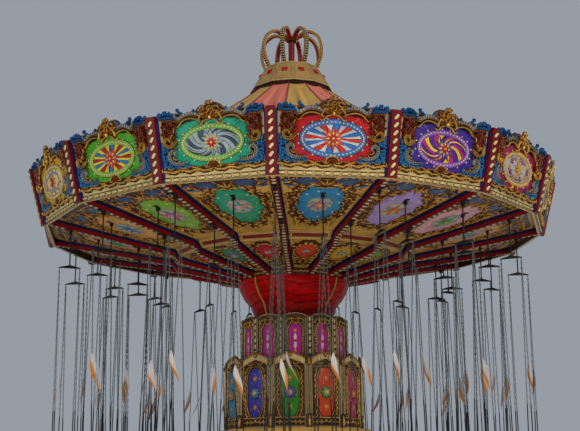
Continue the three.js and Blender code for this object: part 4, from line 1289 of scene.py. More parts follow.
def make_beams():
    """Navy stripes, cream ribs and black hangers on the beams, and the frieze at their inner ends."""
    dressing, hangers = Relief(), Relief()
    for azimuth in corners(CANOPY_SIDES, CANOPY_TURN):
        dress_beam(dressing, azimuth)
    hanger, frieze = hanger_parts(), skirt_frieze()
    for azimuth in middles(CANOPY_SIDES, CANOPY_TURN):
        apothem = FRIEZE_RADIUS * squareness(CANOPY_SIDES)
        dressing.stamp(frieze, on_side(azimuth, apothem, SKIRT_LINE[-1][1], 0.0))
    for _, radius, on_beam in RINGS:
        for azimuth in ring_azimuths(on_beam):
            outward, sideways = directions(azimuth)
            origin = outward * ring_reach(radius, on_beam) + UP * ring_face(radius, on_beam)
            hangers.stamp(hanger, plane(origin, sideways, outward))
    make_piece("beam_dressing", [(dressing, "enamel")], "canopy")
    make_piece("chair_hangers", [(hangers, "iron")], "canopy")
    finish_node("beam_frame", "red")


# Cloth

def smoothed(points, count):
    """A curve through points: Hermite pieces whose slopes join each point's neighbours."""
    points = np.asarray(points, float)
    slopes = np.gradient(points, axis=0)
    at = np.linspace(0, len(points) - 1, count)
    first = np.minimum(at.astype(int), len(points) - 2)
    t = (at - first)[:, None]
    start, end = points[first], points[first + 1]
    start_slope, end_slope = slopes[first], slopes[first + 1]
    return (start * (2 * t ** 3 - 3 * t ** 2 + 1) + end * (3 * t ** 2 - 2 * t ** 3)
            + start_slope * (t ** 3 - 2 * t ** 2 + t) + end_slope * (t ** 3 - t ** 2))


def round_sheet(outer, inner, azimuth, paint):
    """A closed sheet round the axis from two grids of (radius, height), its outer and its inner face."""
    around = np.radians(azimuth)
    grid = np.concatenate([outer, inner[::-1], outer[:1]])
    points = np.stack([grid[..., 0] * np.sin(around), -grid[..., 0] * np.cos(around), grid[..., 1]], axis=-1)
    relief = Relief()
    relief.grids(points, paint, loop=True)
    return relief


def make_roof(settings):
    """The canvas roof: sixteen gores, cream and pink in turn, that sag between welted ridges, with painted
    light and shade along their folds.
    """
    columns, rows = 15, 46
    part = np.linspace(0, 1, columns)
    gore = np.arange(CANOPY_SIDES)[:, None] + 0 * part
    azimuth = (CANOPY_TURN + (gore + part) * 360 / CANOPY_SIDES).ravel()
    across = np.tile(2 * part - 1, CANOPY_SIDES)
    line = smoothed(ROOF_LINE, rows)[::-1, None, :]
    s = np.linspace(0, 1, rows)[:, None]
    flat = squareness(CANOPY_SIDES) / np.cos(np.radians(across * 180 / CANOPY_SIDES))
    turn = np.radians(azimuth)
    waves = ((0.5, 41, 3, 0.0), (0.35, 67, -4, 1.3), (0.3, 23, 5, 0.0))
    folds = sum(size * np.sin(count * turn + drift * s + phase) for size, count, drift, phase in waves)
    bay, hem = 1 - across ** 2, np.sin(math.pi * np.minimum(s + 0.04, 1))
    sag = settings.roof_sag * bay * np.sin(math.pi * s ** 0.8)
    pull = 0.03 * folds * bay * (0.35 + 0.65 * s ** 2) * hem
    outer = np.stack(np.broadcast_arrays(line[..., 0] * flat, line[..., 1] + 0.012 - sag + pull), axis=-1)
    inner = outer - (0.0, ROOF_CLOTH)
    plain = np.where(gore.reshape(-1, 1) % 2 == 0, settings.canvas, settings.canvas_stripe)
    # Painted light and shade: the gores are lighter and darker along their folds
    shade = 1 + 0.55 * folds * (1 - across ** 4) * np.sin(math.pi * np.minimum(s + 0.1, 1)) ** 0.5
    shade = np.clip(shade, 0.35, 1.25)
    paint = plain * np.concatenate([shade, shade[::-1], shade[:1]])[..., None]
    roof = round_sheet(outer, inner, azimuth, paint)
    welts = Relief()
    for corner in corners(CANOPY_SIDES, CANOPY_TURN):
        outward, sideways = directions(corner)
        ridge = line[:, 0, :1] * outward + (line[:, 0, 1:] + 0.016) * UP
        path, sizes = capped(ridge)
        welts.carry(path, sideways, 0.016 * sizes, 0.012 * sizes, linear("#8c3a34"), round_section(6))
    cloth = make_piece("roof_gores", [(roof, "canvas")], "canopy", ["roof_canvas"], 60)
    seams = make_piece("roof_welts", [(welts, "canvas")], "canopy")


def make_skirt(settings):
    """The red vinyl bowl under the canopy, in slack tiers between creases darkened by painted shade, with
    ties down its sides; painted shade darkens it towards its foot and a pale painted sheen runs along some
    folds.
    """
    columns, rows = 192, 60
    azimuth = np.arange(columns) * 360 / columns
    turn = np.radians(azimuth)
    line = smoothed(SKIRT_LINE, rows)[:, None, :]
    s = np.linspace(0, 1, rows)[:, None]
    level = 4.6 * s + 0.3 * np.sin(4 * turn + 0.7) + 0.12 * np.sin(9 * turn + 1) + 0.2
    tiers = np.abs(np.sin(math.pi * level))
    slack = np.sin(2 * math.pi * (5.5 * s + 0.4 * np.sin(5 * turn + 2) - 0.3 * np.sin(11 * turn)))
    ends = np.sin(math.pi * np.clip(s, 0.02, 0.98)) ** 0.5
    fold = settings.skirt_crease * (2.2 * np.minimum(tiers, 0.6) + 0.5 * slack) * ends
    radius = line[..., 0] * (1 - 0.004 * (1 - np.cos(16 * turn))) - 0.022 + fold
    outer = np.stack(np.broadcast_arrays(radius, line[..., 1]), axis=-1)
    inner = outer - (VINYL, 0.0)
    # Painted light and shade: darker in the creases and towards the foot, lighter and darker over the slack
    # folds
    crease, foot_shade = 0.12 + 0.88 * np.clip(tiers * 3.2, 0, 1), 0.45 + 0.6 * np.clip(1.6 * s, 0, 1)
    shade = crease * (1 + 0.15 * slack) * foot_shade
    # Painted sheen: pale streaks along diagonal folds
    painted_sheen = np.clip(1 - 9 * np.abs(np.sin(4 * turn + 1.9 * s + 0.5 * np.sin(3 * turn + 4 * s))), 0, 1) * ends
    colour = shade[..., None] * np.array(settings.vinyl) + 0.025 * painted_sheen[..., None]
    colour = np.concatenate([colour, colour[::-1], colour[:1]])
    skirt = round_sheet(outer, inner, azimuth, colour)
    ties = Relief()
    for index in range(TIE_COUNT):
        outward, sideways = directions(-42 + index * 360 / TIE_COUNT)
        path = line[:, 0, :1] * outward + line[:, 0, 1:] * UP + outward * 0.002
        path, sizes = capped(path)
        ties.carry(path, sideways, 0.026 * sizes, 0.009 * sizes, linear("#a08a24"), round_section(8))
    cloth = make_piece("skirt", [(skirt, "vinyl")], "canopy", ["tower_skirt"], 70)
    straps = make_piece("skirt_ties", [(ties, "enamel")], "canopy")


# Crown

def make_crown(settings):
    """The crown: a band of twelve facets with jewels, a fringe, eight arches with bulbs, and a post."""
    cream, facet, gem, post, collar = (Relief() for _ in range(5))
    profile = [(0.0, 10.38), (0.66, 10.38), (1.03, 9.79), BAND_FOOT, BAND_HEAD, (0.0, BAND_HEAD[1])]
    cream.lathe(profile, TOWER_SIDES, np.array(settings.cream) * CROWN_TINT, CROWN_TURN)
    places, length = sides_between(BAND_FOOT, BAND_HEAD, TOWER_SIDES, CROWN_TURN)
    half_foot = BAND_FOOT[0] * math.sin(math.pi / TOWER_SIDES)
    half_head = BAND_HEAD[0] * math.sin(math.pi / TOWER_SIDES)
    for level, width in ((0.03, 0.024), (length - 0.03, 0.018)):
        half = half_foot + (half_head - half_foot) * level / length
        facet.lines((-half, level), (half, level), width, 0.01, shades("#b39757", 0.15, 0.6), blunt=40)
    edge = straight((half_foot - 0.012, 0.0), (half_head - 0.012, length))
    facet.bands(mirrored(edge)[::-1], 0.01, 0.01, shades("#b0965a", 0.15, 0.6), blunt=40)
    panel = np.array([(-half_foot + 0.05, 0.08), (half_foot - 0.05, 0.08), (half_head - 0.04, length - 0.07),
                      (-half_head + 0.04, length - 0.07)])
    facet.sweep(np.concatenate([panel, panel[:1]]), 0.005, 0.004, linear("#7c5c2c"))
    levels = [(1.16, 0.0), (1.12, 0.008), (1.0, 0.008), (0.0, 0.066)]
    # Dark round the gem's foot and a little lighter at its point: painted shade and painted highlight
    ruby = glaze_and_painted_light("#2c0606", "#7c0406", "#a80406", "#b80a0a")
    gem.mounds((0.0, length * 0.6), SQUARE * 0.064, levels, ruby)
    post.lathe([(0.0, 10.4), (0.08, 10.4), (0.08, 11.2), (0.0, 11.2)], 32, np.array(settings.red))
    collar.lathe([(0.0, 11.17), (0.1, 11.17), (0.125, 11.19), (0.125, 11.24), (0.09, 11.27), (0.0, 11.27)],
                 32, linear("#1d1a1a"))
    parts = [(cream, "cream_relief"), (repeated(facet, places), "enamel"), (repeated(gem, places), "jewel"),
             (post, "enamel"), (collar, "iron")]
    make_piece("crown_band", parts, "canopy", ["crown"], 20)
    make_arches()
    make_fringe()


def make_arches():
    """The crown's arches, gilt outside and red inside, with a row of bulbs along each."""
    arches, bulbs = Relief(), Relief()
    line = smoothed(ARCH_PATH, 60)
    section = np.array([(-0.9, -1.8), (-1, -1.7), (-1, 0.5), (-0.8, 0.8), (0.8, 0.8), (1, 0.5), (1, -1.7),
                        (0.9, -1.8)])
    red, gold, dark = linear("#98100f"), linear("#a87a34"), linear("#1d120a")
    paint = np.stack([red, gold, gold, dark, dark, gold, gold, red])
    spots = np.arange(0.05, walked(line)[-1] - 0.12, BULB_PITCH)
    points = at_length(line, line, spots)
    slopes = unit(at_length(line, np.gradient(line, axis=0), spots))
    bulb = Relief()
    bulb.domes([(-0.024, 0.0), (0.024, 0.0)], 0.018, 0.018, 0.019, WHITE)
    for azimuth in corners(ARCH_COUNT, ARCH_TURN):
        outward, sideways = directions(azimuth)
        axes = np.stack([outward, UP])
        path, sizes = capped(line @ axes)
        arches.carry(path, sideways, 0.055 * sizes, 0.026 * sizes, paint, section)
        for point, along in zip(points, slopes):
            out = np.array([along[1], -along[0]])
            bulbs.stamp(bulb, plane((point + 0.017 * out) @ axes, sideways, along @ axes))
    make_piece("crown_arches", [(arches, "enamel")], "canopy")
    make_piece("crown_bulbs", [(bulbs, "lamp")], "canopy")


def make_fringe():
    """The dark fringe under the crown's band: pleat depth times the cosine of 72 turns widens its radius;
    painted light and shade make one side of each pleat lighter and the other darker.
    """
    columns, rows = PLEAT_COUNT * 6, 8
    azimuth = np.arange(columns) * 360 / columns
    s = np.linspace(0, 1, rows)[:, None]
    facing = squareness(TOWER_SIDES) / np.cos(np.radians((azimuth - CROWN_TURN) % 30 - 15))
    pleats = PLEAT_DEPTH * np.cos(PLEAT_COUNT * np.radians(azimuth)) * (1.2 - s)
    radius = (FRINGE_RADIUS - 0.028 * s) * facing + pleats
    outer = np.stack(np.broadcast_arrays(radius, FRINGE_FOOT + FRINGE_DROP * s), axis=-1)
    # Painted light and shade: one side of each pleat lighter, the other darker
    paint = np.where((np.arange(columns) % 6 < 3)[:, None], linear("#3c0e0b"), linear("#150706"))
    fringe = round_sheet(outer, outer - (0.004, 0.0), azimuth, paint)
    cloth = make_piece("crown_fringe", [(fringe, "wool")], "canopy")


# Drums

def waisted(across, up, columns=64, waist=0.1):
    """A cartouche: y = up·sin a and x = across·|cos a|^0.45·(1 - waist·cos(2π·(1 + sin a)))."""
    angle = circling(columns)
    swell = 1 - waist * np.cos(2 * math.pi * (1 + np.sin(angle)))
    return blunted(ellipse(angle, across, up), across, 0.45) * np.stack([swell, np.ones(columns)], axis=-1)


def squarish(across, up, columns=80, power=0.3):
    """A rounded oblong: both coordinates of an ellipse raised to a power below 1."""
    circle = ellipse(circling(columns), 1.0, 1.0)
    return np.sign(circle) * np.abs(circle) ** power * (across, up)


def upper_side(draw):
    """One side of the upper drum, u across and v the height: umber carving round a magenta cartouche."""
    art, gilt = Relief(), Relief()
    for level, up in ((3.28, 0.6), (2.05, 0.56)):
        art.mounds((0.0, level), squarish(0.222, up), lens(0.04, 0.0, 0.01), linear("#3c2c16"))
    art.mounds((0.0, 3.34), waisted(0.155, 0.44), lens(0.06, 0.008, 0.008), linear("#3c0a3a"))
    art.mounds((0.0, 3.34), waisted(0.142, 0.425), lens(0.1, 0.012, 0.014), tones("#b4178a", 0.6, 0.0))
    art.mounds((0.0, 3.33), waisted(0.045, 0.27, 40, 0.2), lens(0.4, 0.0245, 0.003),
               tones("#d8a0c4", 1.0, 0.3))
    beads = draw.uniform(-1, 1, (22, 2)) * (0.115, 0.37) + (0.0, 3.33)
    art.domes(beads[:11], 0.012, 0.012, 0.006, linear("#2a2f8c"), 0.023, 6, 3)
    art.domes(beads[11:], 0.012, 0.012, 0.006, linear("#c03a2a"), 0.023, 6, 3)
    for level, colour in ((3.58, "#d8a01c"), (3.34, "#c0201c"), (3.1, "#d8861a")):
        art.domes((0.0, level), 0.036, 0.036, 0.012, linear(colour), 0.024, 14, 4)
    gilt.sweep(waisted(0.165, 0.45) + (0.0, 3.34), 0.01, 0.026, GILT, 0.008, closed=True)
    olive = shades("#94885a", 0.35, 0.2)
    for level, up in ((3.33, 0.46), (2.05, 0.42)):
        low, high = (0.165, level - 0.76 * up), (0.215, level + 0.85 * up)
        art.curls((0.055, 2.6, 2.6, 6), low, high, (2, 12), draw, 0.011, 0.026, olive, 0.008)
        outline = waisted(0.188, up) + (0.0, level)
        for part, paint in ((outline[:17], GILT), (outline[48:], BRONZE)):
            gilt.scrolls(part, (0.13, 2.7, 2.7, 9), 6, 0.011, 0.024, paint, 0.008)
    gilt.sweep(waisted(0.165, 0.4) + (0.0, 2.05), 0.01, 0.026, GILT, 0.008, closed=True)
    art.mounds((0.0, 2.05), waisted(0.15, 0.385), lens(0.1, 0.008, 0.014), tones("#8a6c38", 0.6, 0.0))
    rosette(gilt, (0.0, 2.05), 0.1, 8, "#8c5a1c", GOLD, 0.02)
    gilt.bands(mirrored([moved(scroll(0.38, 4.4, 3.4), (0.13, 3.85), 160),
                         moved(scroll(0.22, 3.6, 3.6), (0.065, 3.785), 60)]), 0.018, 0.034, GILT, 0.006)
    gilt.leaves([spine((0.0, 3.76), angle, 0.13, 0.0, 11) for angle in (90, 50, 130)], 0.028, 0.036, RUSSET,
                2, 0.008)
    bow = np.linspace(math.pi, 0, 25)
    for rise, width, tint in ((0.1, 0.009, "#d8bc80"), (0.074, 0.006, "#8a6c34")):
        crest = ellipse(bow, 0.17 + rise, rise) + (0.0, 3.885)
        art.bands(crest, width, 0.02, shades(tint, 0.2, 0.5), 0.0, 30)
    for across in (0.236, 0.266):
        art.edges((across, 1.46), (across, 3.88), 0.008, 0.018, shades("#c9b078", 0.25, 0.3))
    return art, gilt


def pilaster_face(foot, head, half, lamp):
    """A corner post: thin gold edges, a dark groove and a row of long pale lamps between two heights."""
    art, caps = Relief(), Relief()
    art.lines((0.0, foot), (0.0, head), half * 0.95, 0.004, UMBER, section=STRIP_SECTION)
    for share, width, tint in ((0.86, 0.1, "#c9b078"), (0.58, 0.08, "#8a6a34")):
        edge = (half * share, foot), (half * share, head)
        art.edges(*edge, half * width, 0.016, shades(tint, 0.25, 0.3))
    count = round((head - foot) / (lamp * 2.4))
    steps = foot + (np.arange(count) + 0.5) * (head - foot) / count
    caps.domes(np.stack([np.zeros(count), steps], axis=-1), half * 0.3, lamp, 0.022, WHITE, 0.004, 10, 4)
    return art, caps


def make_upper_drum():
    """The lifting drum's carved sides and its lamp-lined posts."""
    draw = np.random.default_rng(5)
    painting, gilding, lamps = Relief(), Relief(), Relief()
    art, gilt = upper_side(draw)
    for place in faces(UPPER_RADIUS, TOWER_SIDES, UPPER_TURN):
        painting.stamp(art, place)
        gilding.stamp(gilt, place)
    post, caps = pilaster_face(3.02, 3.92, 0.075, 0.062)
    for place in posts(UPPER_RADIUS + PILASTER_PROUD, TOWER_SIDES, UPPER_TURN):
        painting.stamp(post, place)
        lamps.stamp(caps, place)
    parts = [(painting, "enamel"), (gilding, "gilt"), (lamps, "lamp")]
    make_piece("upper_drum_carving", parts, "tower_top")
    finish_node("upper_drum", "umber")


def ribbed_face(foot, head, half):
    """A corner post of the lower drum: cream ribs on both sides of a dark groove."""
    art = Relief()
    art.lines((0.0, foot), (0.0, head), half, 0.004, UMBER, section=STRIP_SECTION)
    for share, width, tint in ((0.88, 0.1, "#c9ae74"), (0.58, 0.12, "#a88a50"), (0.26, 0.11, "#c9ae74")):
        edge = (half * share, foot), (half * share, head)
        art.edges(*edge, half * width, 0.02, shades(tint, 0.25, 0.3))
    return art


def lower_side(colour, accent, draw):
    """One side of the lower drum: a gable, a starry cartouche with a rosette, and a base of scrolls."""
    art, gilt = Relief(), Relief()
    art.mounds((0.0, 2.16), squarish(0.335, 0.62, power=0.24), lens(0.03, 0.0, 0.012), UMBER)
    art.mounds((0.0, 1.485), squarish(0.34, 0.075), lens(0.04, 0.0, 0.01), UMBER)
    art.plates((0.0, 2.15), (waisted(0.222, 0.575, waist=0.06), 0.04, 0.01, 0.01, UMBER),
               (waisted(0.205, 0.555, waist=0.06), 0.08, 0.014, 0.02, tones(colour, 0.5, 0.0)))
    stars = draw.uniform(-1, 1, (16, 2)) * (0.16, 0.46) + (0.0, 2.15)
    art.mounds(stars, star(5, 0.017, 0.007), [(1.0, 0.03), (0.6, 0.039), (0.0, 0.04)], linear("#cfcab4"))
    art.plates((0.0, 2.14), (star(8, 0.19, 0.13), 0.14, 0.026, 0.012, linear("#b5b3a0")),
               (star(8, 0.175, 0.115), 0.14, 0.038, 0.008, UMBER),
               (star(8, 0.155, 0.095), 0.14, 0.046, 0.012, tones(accent, 0.4, 0.05)))
    art.domes((0.0, 2.14), 0.065, 0.065, 0.03, shades("#c0841c", 0.2)[[0, 1, 2, 2]], 0.05, 16, 4)
    for level in (1.82, 2.46):
        art.mounds((0.0, level), star(6, 0.085, 0.045), lens(0.2, 0.03, 0.014), tones("#b87c1c", 0.3, 0.05))
    gilt.sweep(waisted(0.226, 0.585, waist=0.06) + (0.0, 2.15), 0.011, 0.028, GILT, 0.01, closed=True)
    frame_line = squarish(0.282, 0.585, 80, 0.42) + (0.0, 2.15)
    right = np.concatenate([frame_line[62:], frame_line[:19]])
    gilt.scrolls(right, (0.18, 2.9, 2.9, 11), 11, 0.017, 0.034, GILT, 0.01)
    gilt.curls((0.08, 2.8, 2.8, 7), (0.22, 1.6), (0.325, 2.74), (2, 13), draw, 0.011, 0.026, BRONZE, 0.01)
    corner_leaves = spines(13, ((0.3, 1.62), 120, 0.2, 0.9), ((0.3, 2.66), 240, 0.2, -0.9))
    gilt.leaves(mirrored(corner_leaves), 0.034, 0.04, BRONZE, 3, 0.01)
    gilt.scrolls(straight((0.02, 1.485), (0.33, 1.485), 5), (0.22, 3.1, -3.1, 13), 3, 0.017, 0.028, GILT,
                 0.008)
    for shift, width in ((0.05, 0.013), (-0.1, 0.012)):
        path = kept_wide([(0.395, LOWER_VALLEY - 0.055 + shift), (0.2, 2.925 + shift), (0.03, 2.995 + shift)])
        gilt.bands(mirrored(path), width, 0.03, GILT, blunt=40)
    gable = kept_wide([(0.39, LOWER_VALLEY - 0.08), (0.2, 2.9), (0.0, 2.97)])
    art.bands(mirrored(gable), 0.063, 0.01, shades("#cdae74", 0.05, 0.85), blunt=60)
    arch = np.array([(0.33, 2.76), (0.22, 2.815), (0.1, 2.86), (0.0, 2.9)])
    gilt.bands(mirrored(arch), 0.016, 0.03, BRONZE, blunt=20)
    gilt.bands(mirrored(moved(scroll(0.24, 3.4, 3.0, 13), (0.16, 2.775), 20)), 0.016, 0.034, GILT, 0.006)
    rosette(gilt, (0.0, 2.99), 0.062, 8, "#8c5a1c", GOLD, 0.012)
    for level in (1.38, 1.585):
        art.lines((-0.36, level), (0.36, level), 0.015, 0.02, shades("#c0a260", 0.2, 0.4))
    art.edges((0.346, 1.4), (0.346, 2.82), 0.014, 0.02, shades("#c0a260", 0.25, 0.4))
    return art, gilt


def make_lower_drum():
    """The fixed drum's carved gables, cartouches and posts."""
    draw = np.random.default_rng(9)
    painting, gilding = Relief(), Relief()
    for index, place in enumerate(faces(LOWER_RADIUS, TOWER_SIDES, LOWER_TURN)):
        art, gilt = lower_side(LOWER_PAINTS[index], LOWER_PAINTS[(index + 5) % TOWER_SIDES], draw)
        painting.stamp(art, place)
        gilding.stamp(gilt, place)
    post = ribbed_face(1.66, 2.78, 0.078)
    scrolls = Relief()
    scrolls.leaves(spines(17, ((0.0, 1.38), 90, 0.26, 0.0), ((0.0, 2.72), 90, 0.2, 0.0)), 0.05, 0.034, GILT,
                   3)
    rosette(scrolls, (0.0, 2.78), 0.055, 6, "#8c5a1c", GOLD, 0.03)
    for place in posts(LOWER_RADIUS + PILASTER_PROUD, TOWER_SIDES, LOWER_TURN):
        painting.stamp(post, place)
        gilding.stamp(scrolls, place)
    make_piece("lower_drum_carving", [(painting, "enamel"), (gilding, "gilt")], "root")
    finish_node("lower_drum", "umber")


def make_plinth():
    """The plinth's panels and mouldings, and the finish of the plain masts."""
    art, gilt = Relief(), Relief()
    half = PLINTH_RADIUS * math.sin(math.pi / TOWER_SIDES)
    art.mounds((0.0, 0.62), squarish(half - 0.11, 0.44, power=0.12), lens(0.05, 0.0, 0.014),
               tones("#cdb173", 0.6, 0.2))
    art.sweep(squarish(half - 0.08, 0.475, power=0.12) + (0.0, 0.62), 0.016, 0.024,
              shades("#e4d09c", 0.3, 0.5), closed=True)
    gilt.bands(mirrored(moved(scroll(0.42, 3.6, 3.2), (0.13, 0.62), 20)), 0.022, 0.03, GILT, 0.012)
    gilt.leaves(mirrored([spine((0.04, 0.62), angle, 0.22, 0.4, 13) for angle in (60, -60)]), 0.035, 0.03,
                GILT, 3, 0.012)
    rosette(gilt, (0.0, 0.62), 0.06, 8, "#b07a2c", "#f0cb6c", 0.014)
    for level, size in ((0.085, 0.02), (1.15, 0.016)):
        gilt.lines((-half, level), (half, level), size, 0.02, GILT, blunt=80)
    places = faces(PLINTH_RADIUS, TOWER_SIDES, LOWER_TURN)
    parts = [(repeated(art, places), "enamel"), (repeated(gilt, places), "gilt")]
    make_piece("plinth_panels", parts, "root")
    finish_node("base_plinth", "plinth")
    for node in ("mast_sleeve", "lifting_mast", "tilt_head"):
        finish_node(node, "mast")


# Chairs, in coordinates of their own: u forwards, v towards the axis and h up, from the hinge

def chain_path(side, front, pan):
    """The ends of one of a chair's four chains: on the spreader and on the seat."""
    head = np.array([0.008 if front else -0.008, side * (SPREADER_LENGTH / 2 - 0.02), -ROD_LENGTH])
    if front:
        return head, np.array([SEAT_LENGTH / 2 - 0.03, side * 0.222, pan + SEAT_SIDE - 0.02])
    return head, np.array([-SEAT_LENGTH / 2 - 0.008, side * 0.222, pan + SEAT_BACK - 0.02])


def chain_links(head, foot, pitch):
    """Links from head to foot: ovals of six points with a three-sided wire, each a quarter turned."""
    length = np.linalg.norm(foot - head)
    along = (foot - head) / length
    count = int(length / pitch)
    middle = head + along * (np.arange(count)[:, None] + 0.5) * length / count
    first = np.cross(along, [0.0, 1.0, 0.0])
    first /= np.linalg.norm(first)
    second = np.cross(along, first)
    odd = (np.arange(count) % 2)[:, None]
    flat, across = np.where(odd, first, -second), np.where(odd, second, first)
    angle = np.arange(6) * math.pi / 3
    reach, width = pitch * 0.56, pitch * 0.17
    wire = 0.0065
    turn = np.arange(3) * 2 * math.pi / 3
    long_way = np.cos(angle)[:, None] * (reach + wire * np.cos(turn))
    wide_way = np.sin(angle)[:, None] * (width + wire * np.cos(turn))
    thick = np.broadcast_to(wire * np.sin(turn), long_way.shape)
    points = (middle[:, None, None] + long_way[..., None] * along + wide_way[..., None]
              * across[:, None, None] + thick[..., None] * flat[:, None, None])
    return np.concatenate([points, points[:, :1]], axis=1)


def rod(relief, start, end, radius, paint, sides=10):
    """A round bar with closed ends."""
    path, sizes = capped(np.linspace(start, end, 2))
    along = np.subtract(end, start)
    across = np.cross(along, [0.0, 0.0, 1.0])
    if np.linalg.norm(across) < 1e-6 * np.linalg.norm(along):
        across = np.array([0.0, 1.0, 0.0])
    relief.carry(path, across, radius * sizes, radius * sizes, paint, round_section(sides))


def hanging_parts(pan, pitch):
    """A chair's black ironwork, its zinc chains and the rubber sleeves over the chains' lower ends."""
    iron, zinc, rubber = Relief(), Relief(), Relief()
    black = linear("#16171a")
    rod(iron, (-0.03, 0.0, 0.0), (0.03, 0.0, 0.0), 0.024, black, 16)
    rod(iron, (0.0, 0.0, 0.0), (0.0, 0.0, -ROD_LENGTH), 0.015, black)
    gusset = np.array([(-0.25, -0.008), (0.25, -0.008), (0.25, 0.012), (0.04, 0.062), (-0.04, 0.062),
                       (-0.25, 0.012)])
    plate = Relief()
    levels = [(0.0, -0.011), (0.97, -0.011), (1.0, -0.008), (1.0, 0.008), (0.97, 0.011), (0.0, 0.011)]
    plate.mounds((0.0, 0.0), gusset, levels, black)
    iron.stamp(plate, plane(np.array([0.0, 0.0, -ROD_LENGTH]), np.array([0.0, 1.0, 0.0]), UP))
    for side in (-1, 1):
        rod(iron, (0.0, side * 0.012, -ROD_LENGTH + 0.05), (0.0, 0.0, -ROD_LENGTH + 0.13), 0.012, black, 6)
        rod(iron, (-0.02, side * 0.23, -ROD_LENGTH), (0.02, side * 0.23, -ROD_LENGTH), 0.013, black, 8)
        for front in (True, False):
            head, foot = chain_path(side, front, pan)
            share = (SLEEVE_TOP - SEAT_HEIGHT - (foot[2] - pan)) / (head[2] - foot[2])
            joint = foot + (head - foot) * share
            zinc.grids(chain_links(head, joint, pitch), WHITE, loop=True)
            rod(rubber, joint, foot, 0.0125, linear("#1b1c20"), 8)
    return iron, zinc, rubber


def seat_shell(pan):
    """A U section along u, closed at both ends: its sides rise to the back and its front lip drops."""
    shell = Relief()
    steps = np.linspace(-1, 1, 15)
    front, rear = np.clip((1 - steps) * 1.6, 0, 1), np.clip(-steps * 2 - 1, 0, 1)
    side = SEAT_SIDE * (0.62 + 0.38 * front) + 0.10 * rear ** 2
    angle = np.linspace(0, math.pi, 17)
    half = SEAT_WIDTH / 2
    shape_y = -np.sign(np.cos(angle)) * np.abs(np.cos(angle)) ** 0.34
    shape_z = 1 - np.abs(np.sin(angle)) ** 0.34
    lip = 0.03 * np.clip(steps, 0, 1) ** 2
    outer_y = np.broadcast_to(shape_y * half, (15, 17))
    outer_z = side[:, None] * shape_z - SEAT_SHELL * (1 - shape_z) - lip[:, None] * (1 - shape_z)
    inner_y = outer_y * (1 - SEAT_SHELL / half)
    inner_z = outer_z + SEAT_SHELL * (1 - shape_z)
    ring_y = np.concatenate([outer_y, inner_y[:, ::-1]], axis=1)
    ring_z = np.concatenate([outer_z, inner_z[:, ::-1]], axis=1) + pan
    ring_x = np.broadcast_to(steps[:, None] * SEAT_LENGTH / 2, ring_y.shape)
    shell.grids(np.stack([ring_x, ring_y, ring_z], axis=-1), SEAT_BLUE, loop=True)
    for row, step in ((-1, 1), (0, -1)):
        end = np.stack([np.full((2, 17), ring_x[row, 0]), np.stack([outer_y[row], inner_y[row]]),
                        np.stack([outer_z[row], inner_z[row]]) + pan], axis=-1)
        shell.grids(end[:, ::step], SEAT_BLUE)
    return shell


def seat_back():
    """The seat's back, a blunted oval, with a lower pad on its front."""
    plate, half, thick = Relief(), SEAT_WIDTH / 2, SEAT_SHELL / 2
    back = blunted(oval(half, SEAT_BACK / 2, 40), half, 0.45)
    levels = [(0.0, thick), (0.96, thick), (1.0, 0.0), (0.96, -thick), (0.0, -thick)]
    plate.mounds((0.0, 0.0), back, levels, SEAT_BLUE)
    plate.mounds((0.0, -0.02), back * (0.8, 0.7), [(1.0, 0.006), (0.9, 0.02), (0.0, 0.024)], SEAT_BLUE)
    return plate


def seat_parts(pan):
    """The bucket seat, blue all over, and its safety bar, a slightly bowed tube."""
    shell, iron = seat_shell(pan), Relief()
    origin = np.array([-SEAT_LENGTH / 2 - SEAT_SHELL / 2, 0.0, pan - SEAT_SHELL + SEAT_BACK / 2])
    shell.stamp(seat_back(), plane(origin, np.array([0.0, 1.0, 0.0]), UP))
    bow = np.linspace(-1, 1, 13)
    path = np.stack([SEAT_LENGTH / 2 - 0.03 + 0.02 * (1 - bow ** 2), bow * (SEAT_WIDTH / 2 - 0.012),
                     pan + BAR_HEIGHT - 0.02 + 0.015 * (1 - bow ** 2)], axis=-1)
    path, sizes = capped(path)
    iron.carry(path, [1.0, 0.0, 0.0], 0.0105 * sizes, 0.0105 * sizes, linear("#8a8e92"), round_section(8))
    return shell, iron


def make_chairs(settings):
    """The forty-eight chairs, each on its own chains, in three rings."""
    for ring, radius, on_beam in RINGS:
        pivot = ring_pivot(radius, on_beam)
        reliefs = hanging_parts(SEAT_HEIGHT - pivot, settings.link_pitch) + seat_parts(SEAT_HEIGHT - pivot)
        parts = list(zip(reliefs, ("iron", "zinc", "rubber", "seat", "bar")))
        for index, azimuth in enumerate(ring_azimuths(on_beam)):
            place = chair_place(radius, on_beam, azimuth)
            placed = [(repeated(relief, [place]), finish) for relief, finish in parts]
            node = f"chair_{ring}_{index + 1:02d}"
            make_piece(f"seat_and_chains_{ring}_{index + 1:02d}", placed, node, [node])


def ring_pivot(radius, on_beam):
    """The height of a ring's hinges."""
    return ring_face(radius, on_beam) - BRACKET_DROP - EYE_RADIUS - GAP


def chair_place(radius, on_beam, azimuth):
    """The place of a chair's own coordinates in the ride."""
    outward, sideways = directions(azimuth)
    origin = outward * ring_reach(radius, on_beam) + UP * ring_pivot(radius, on_beam)
    return plane(origin, sideways, -outward)


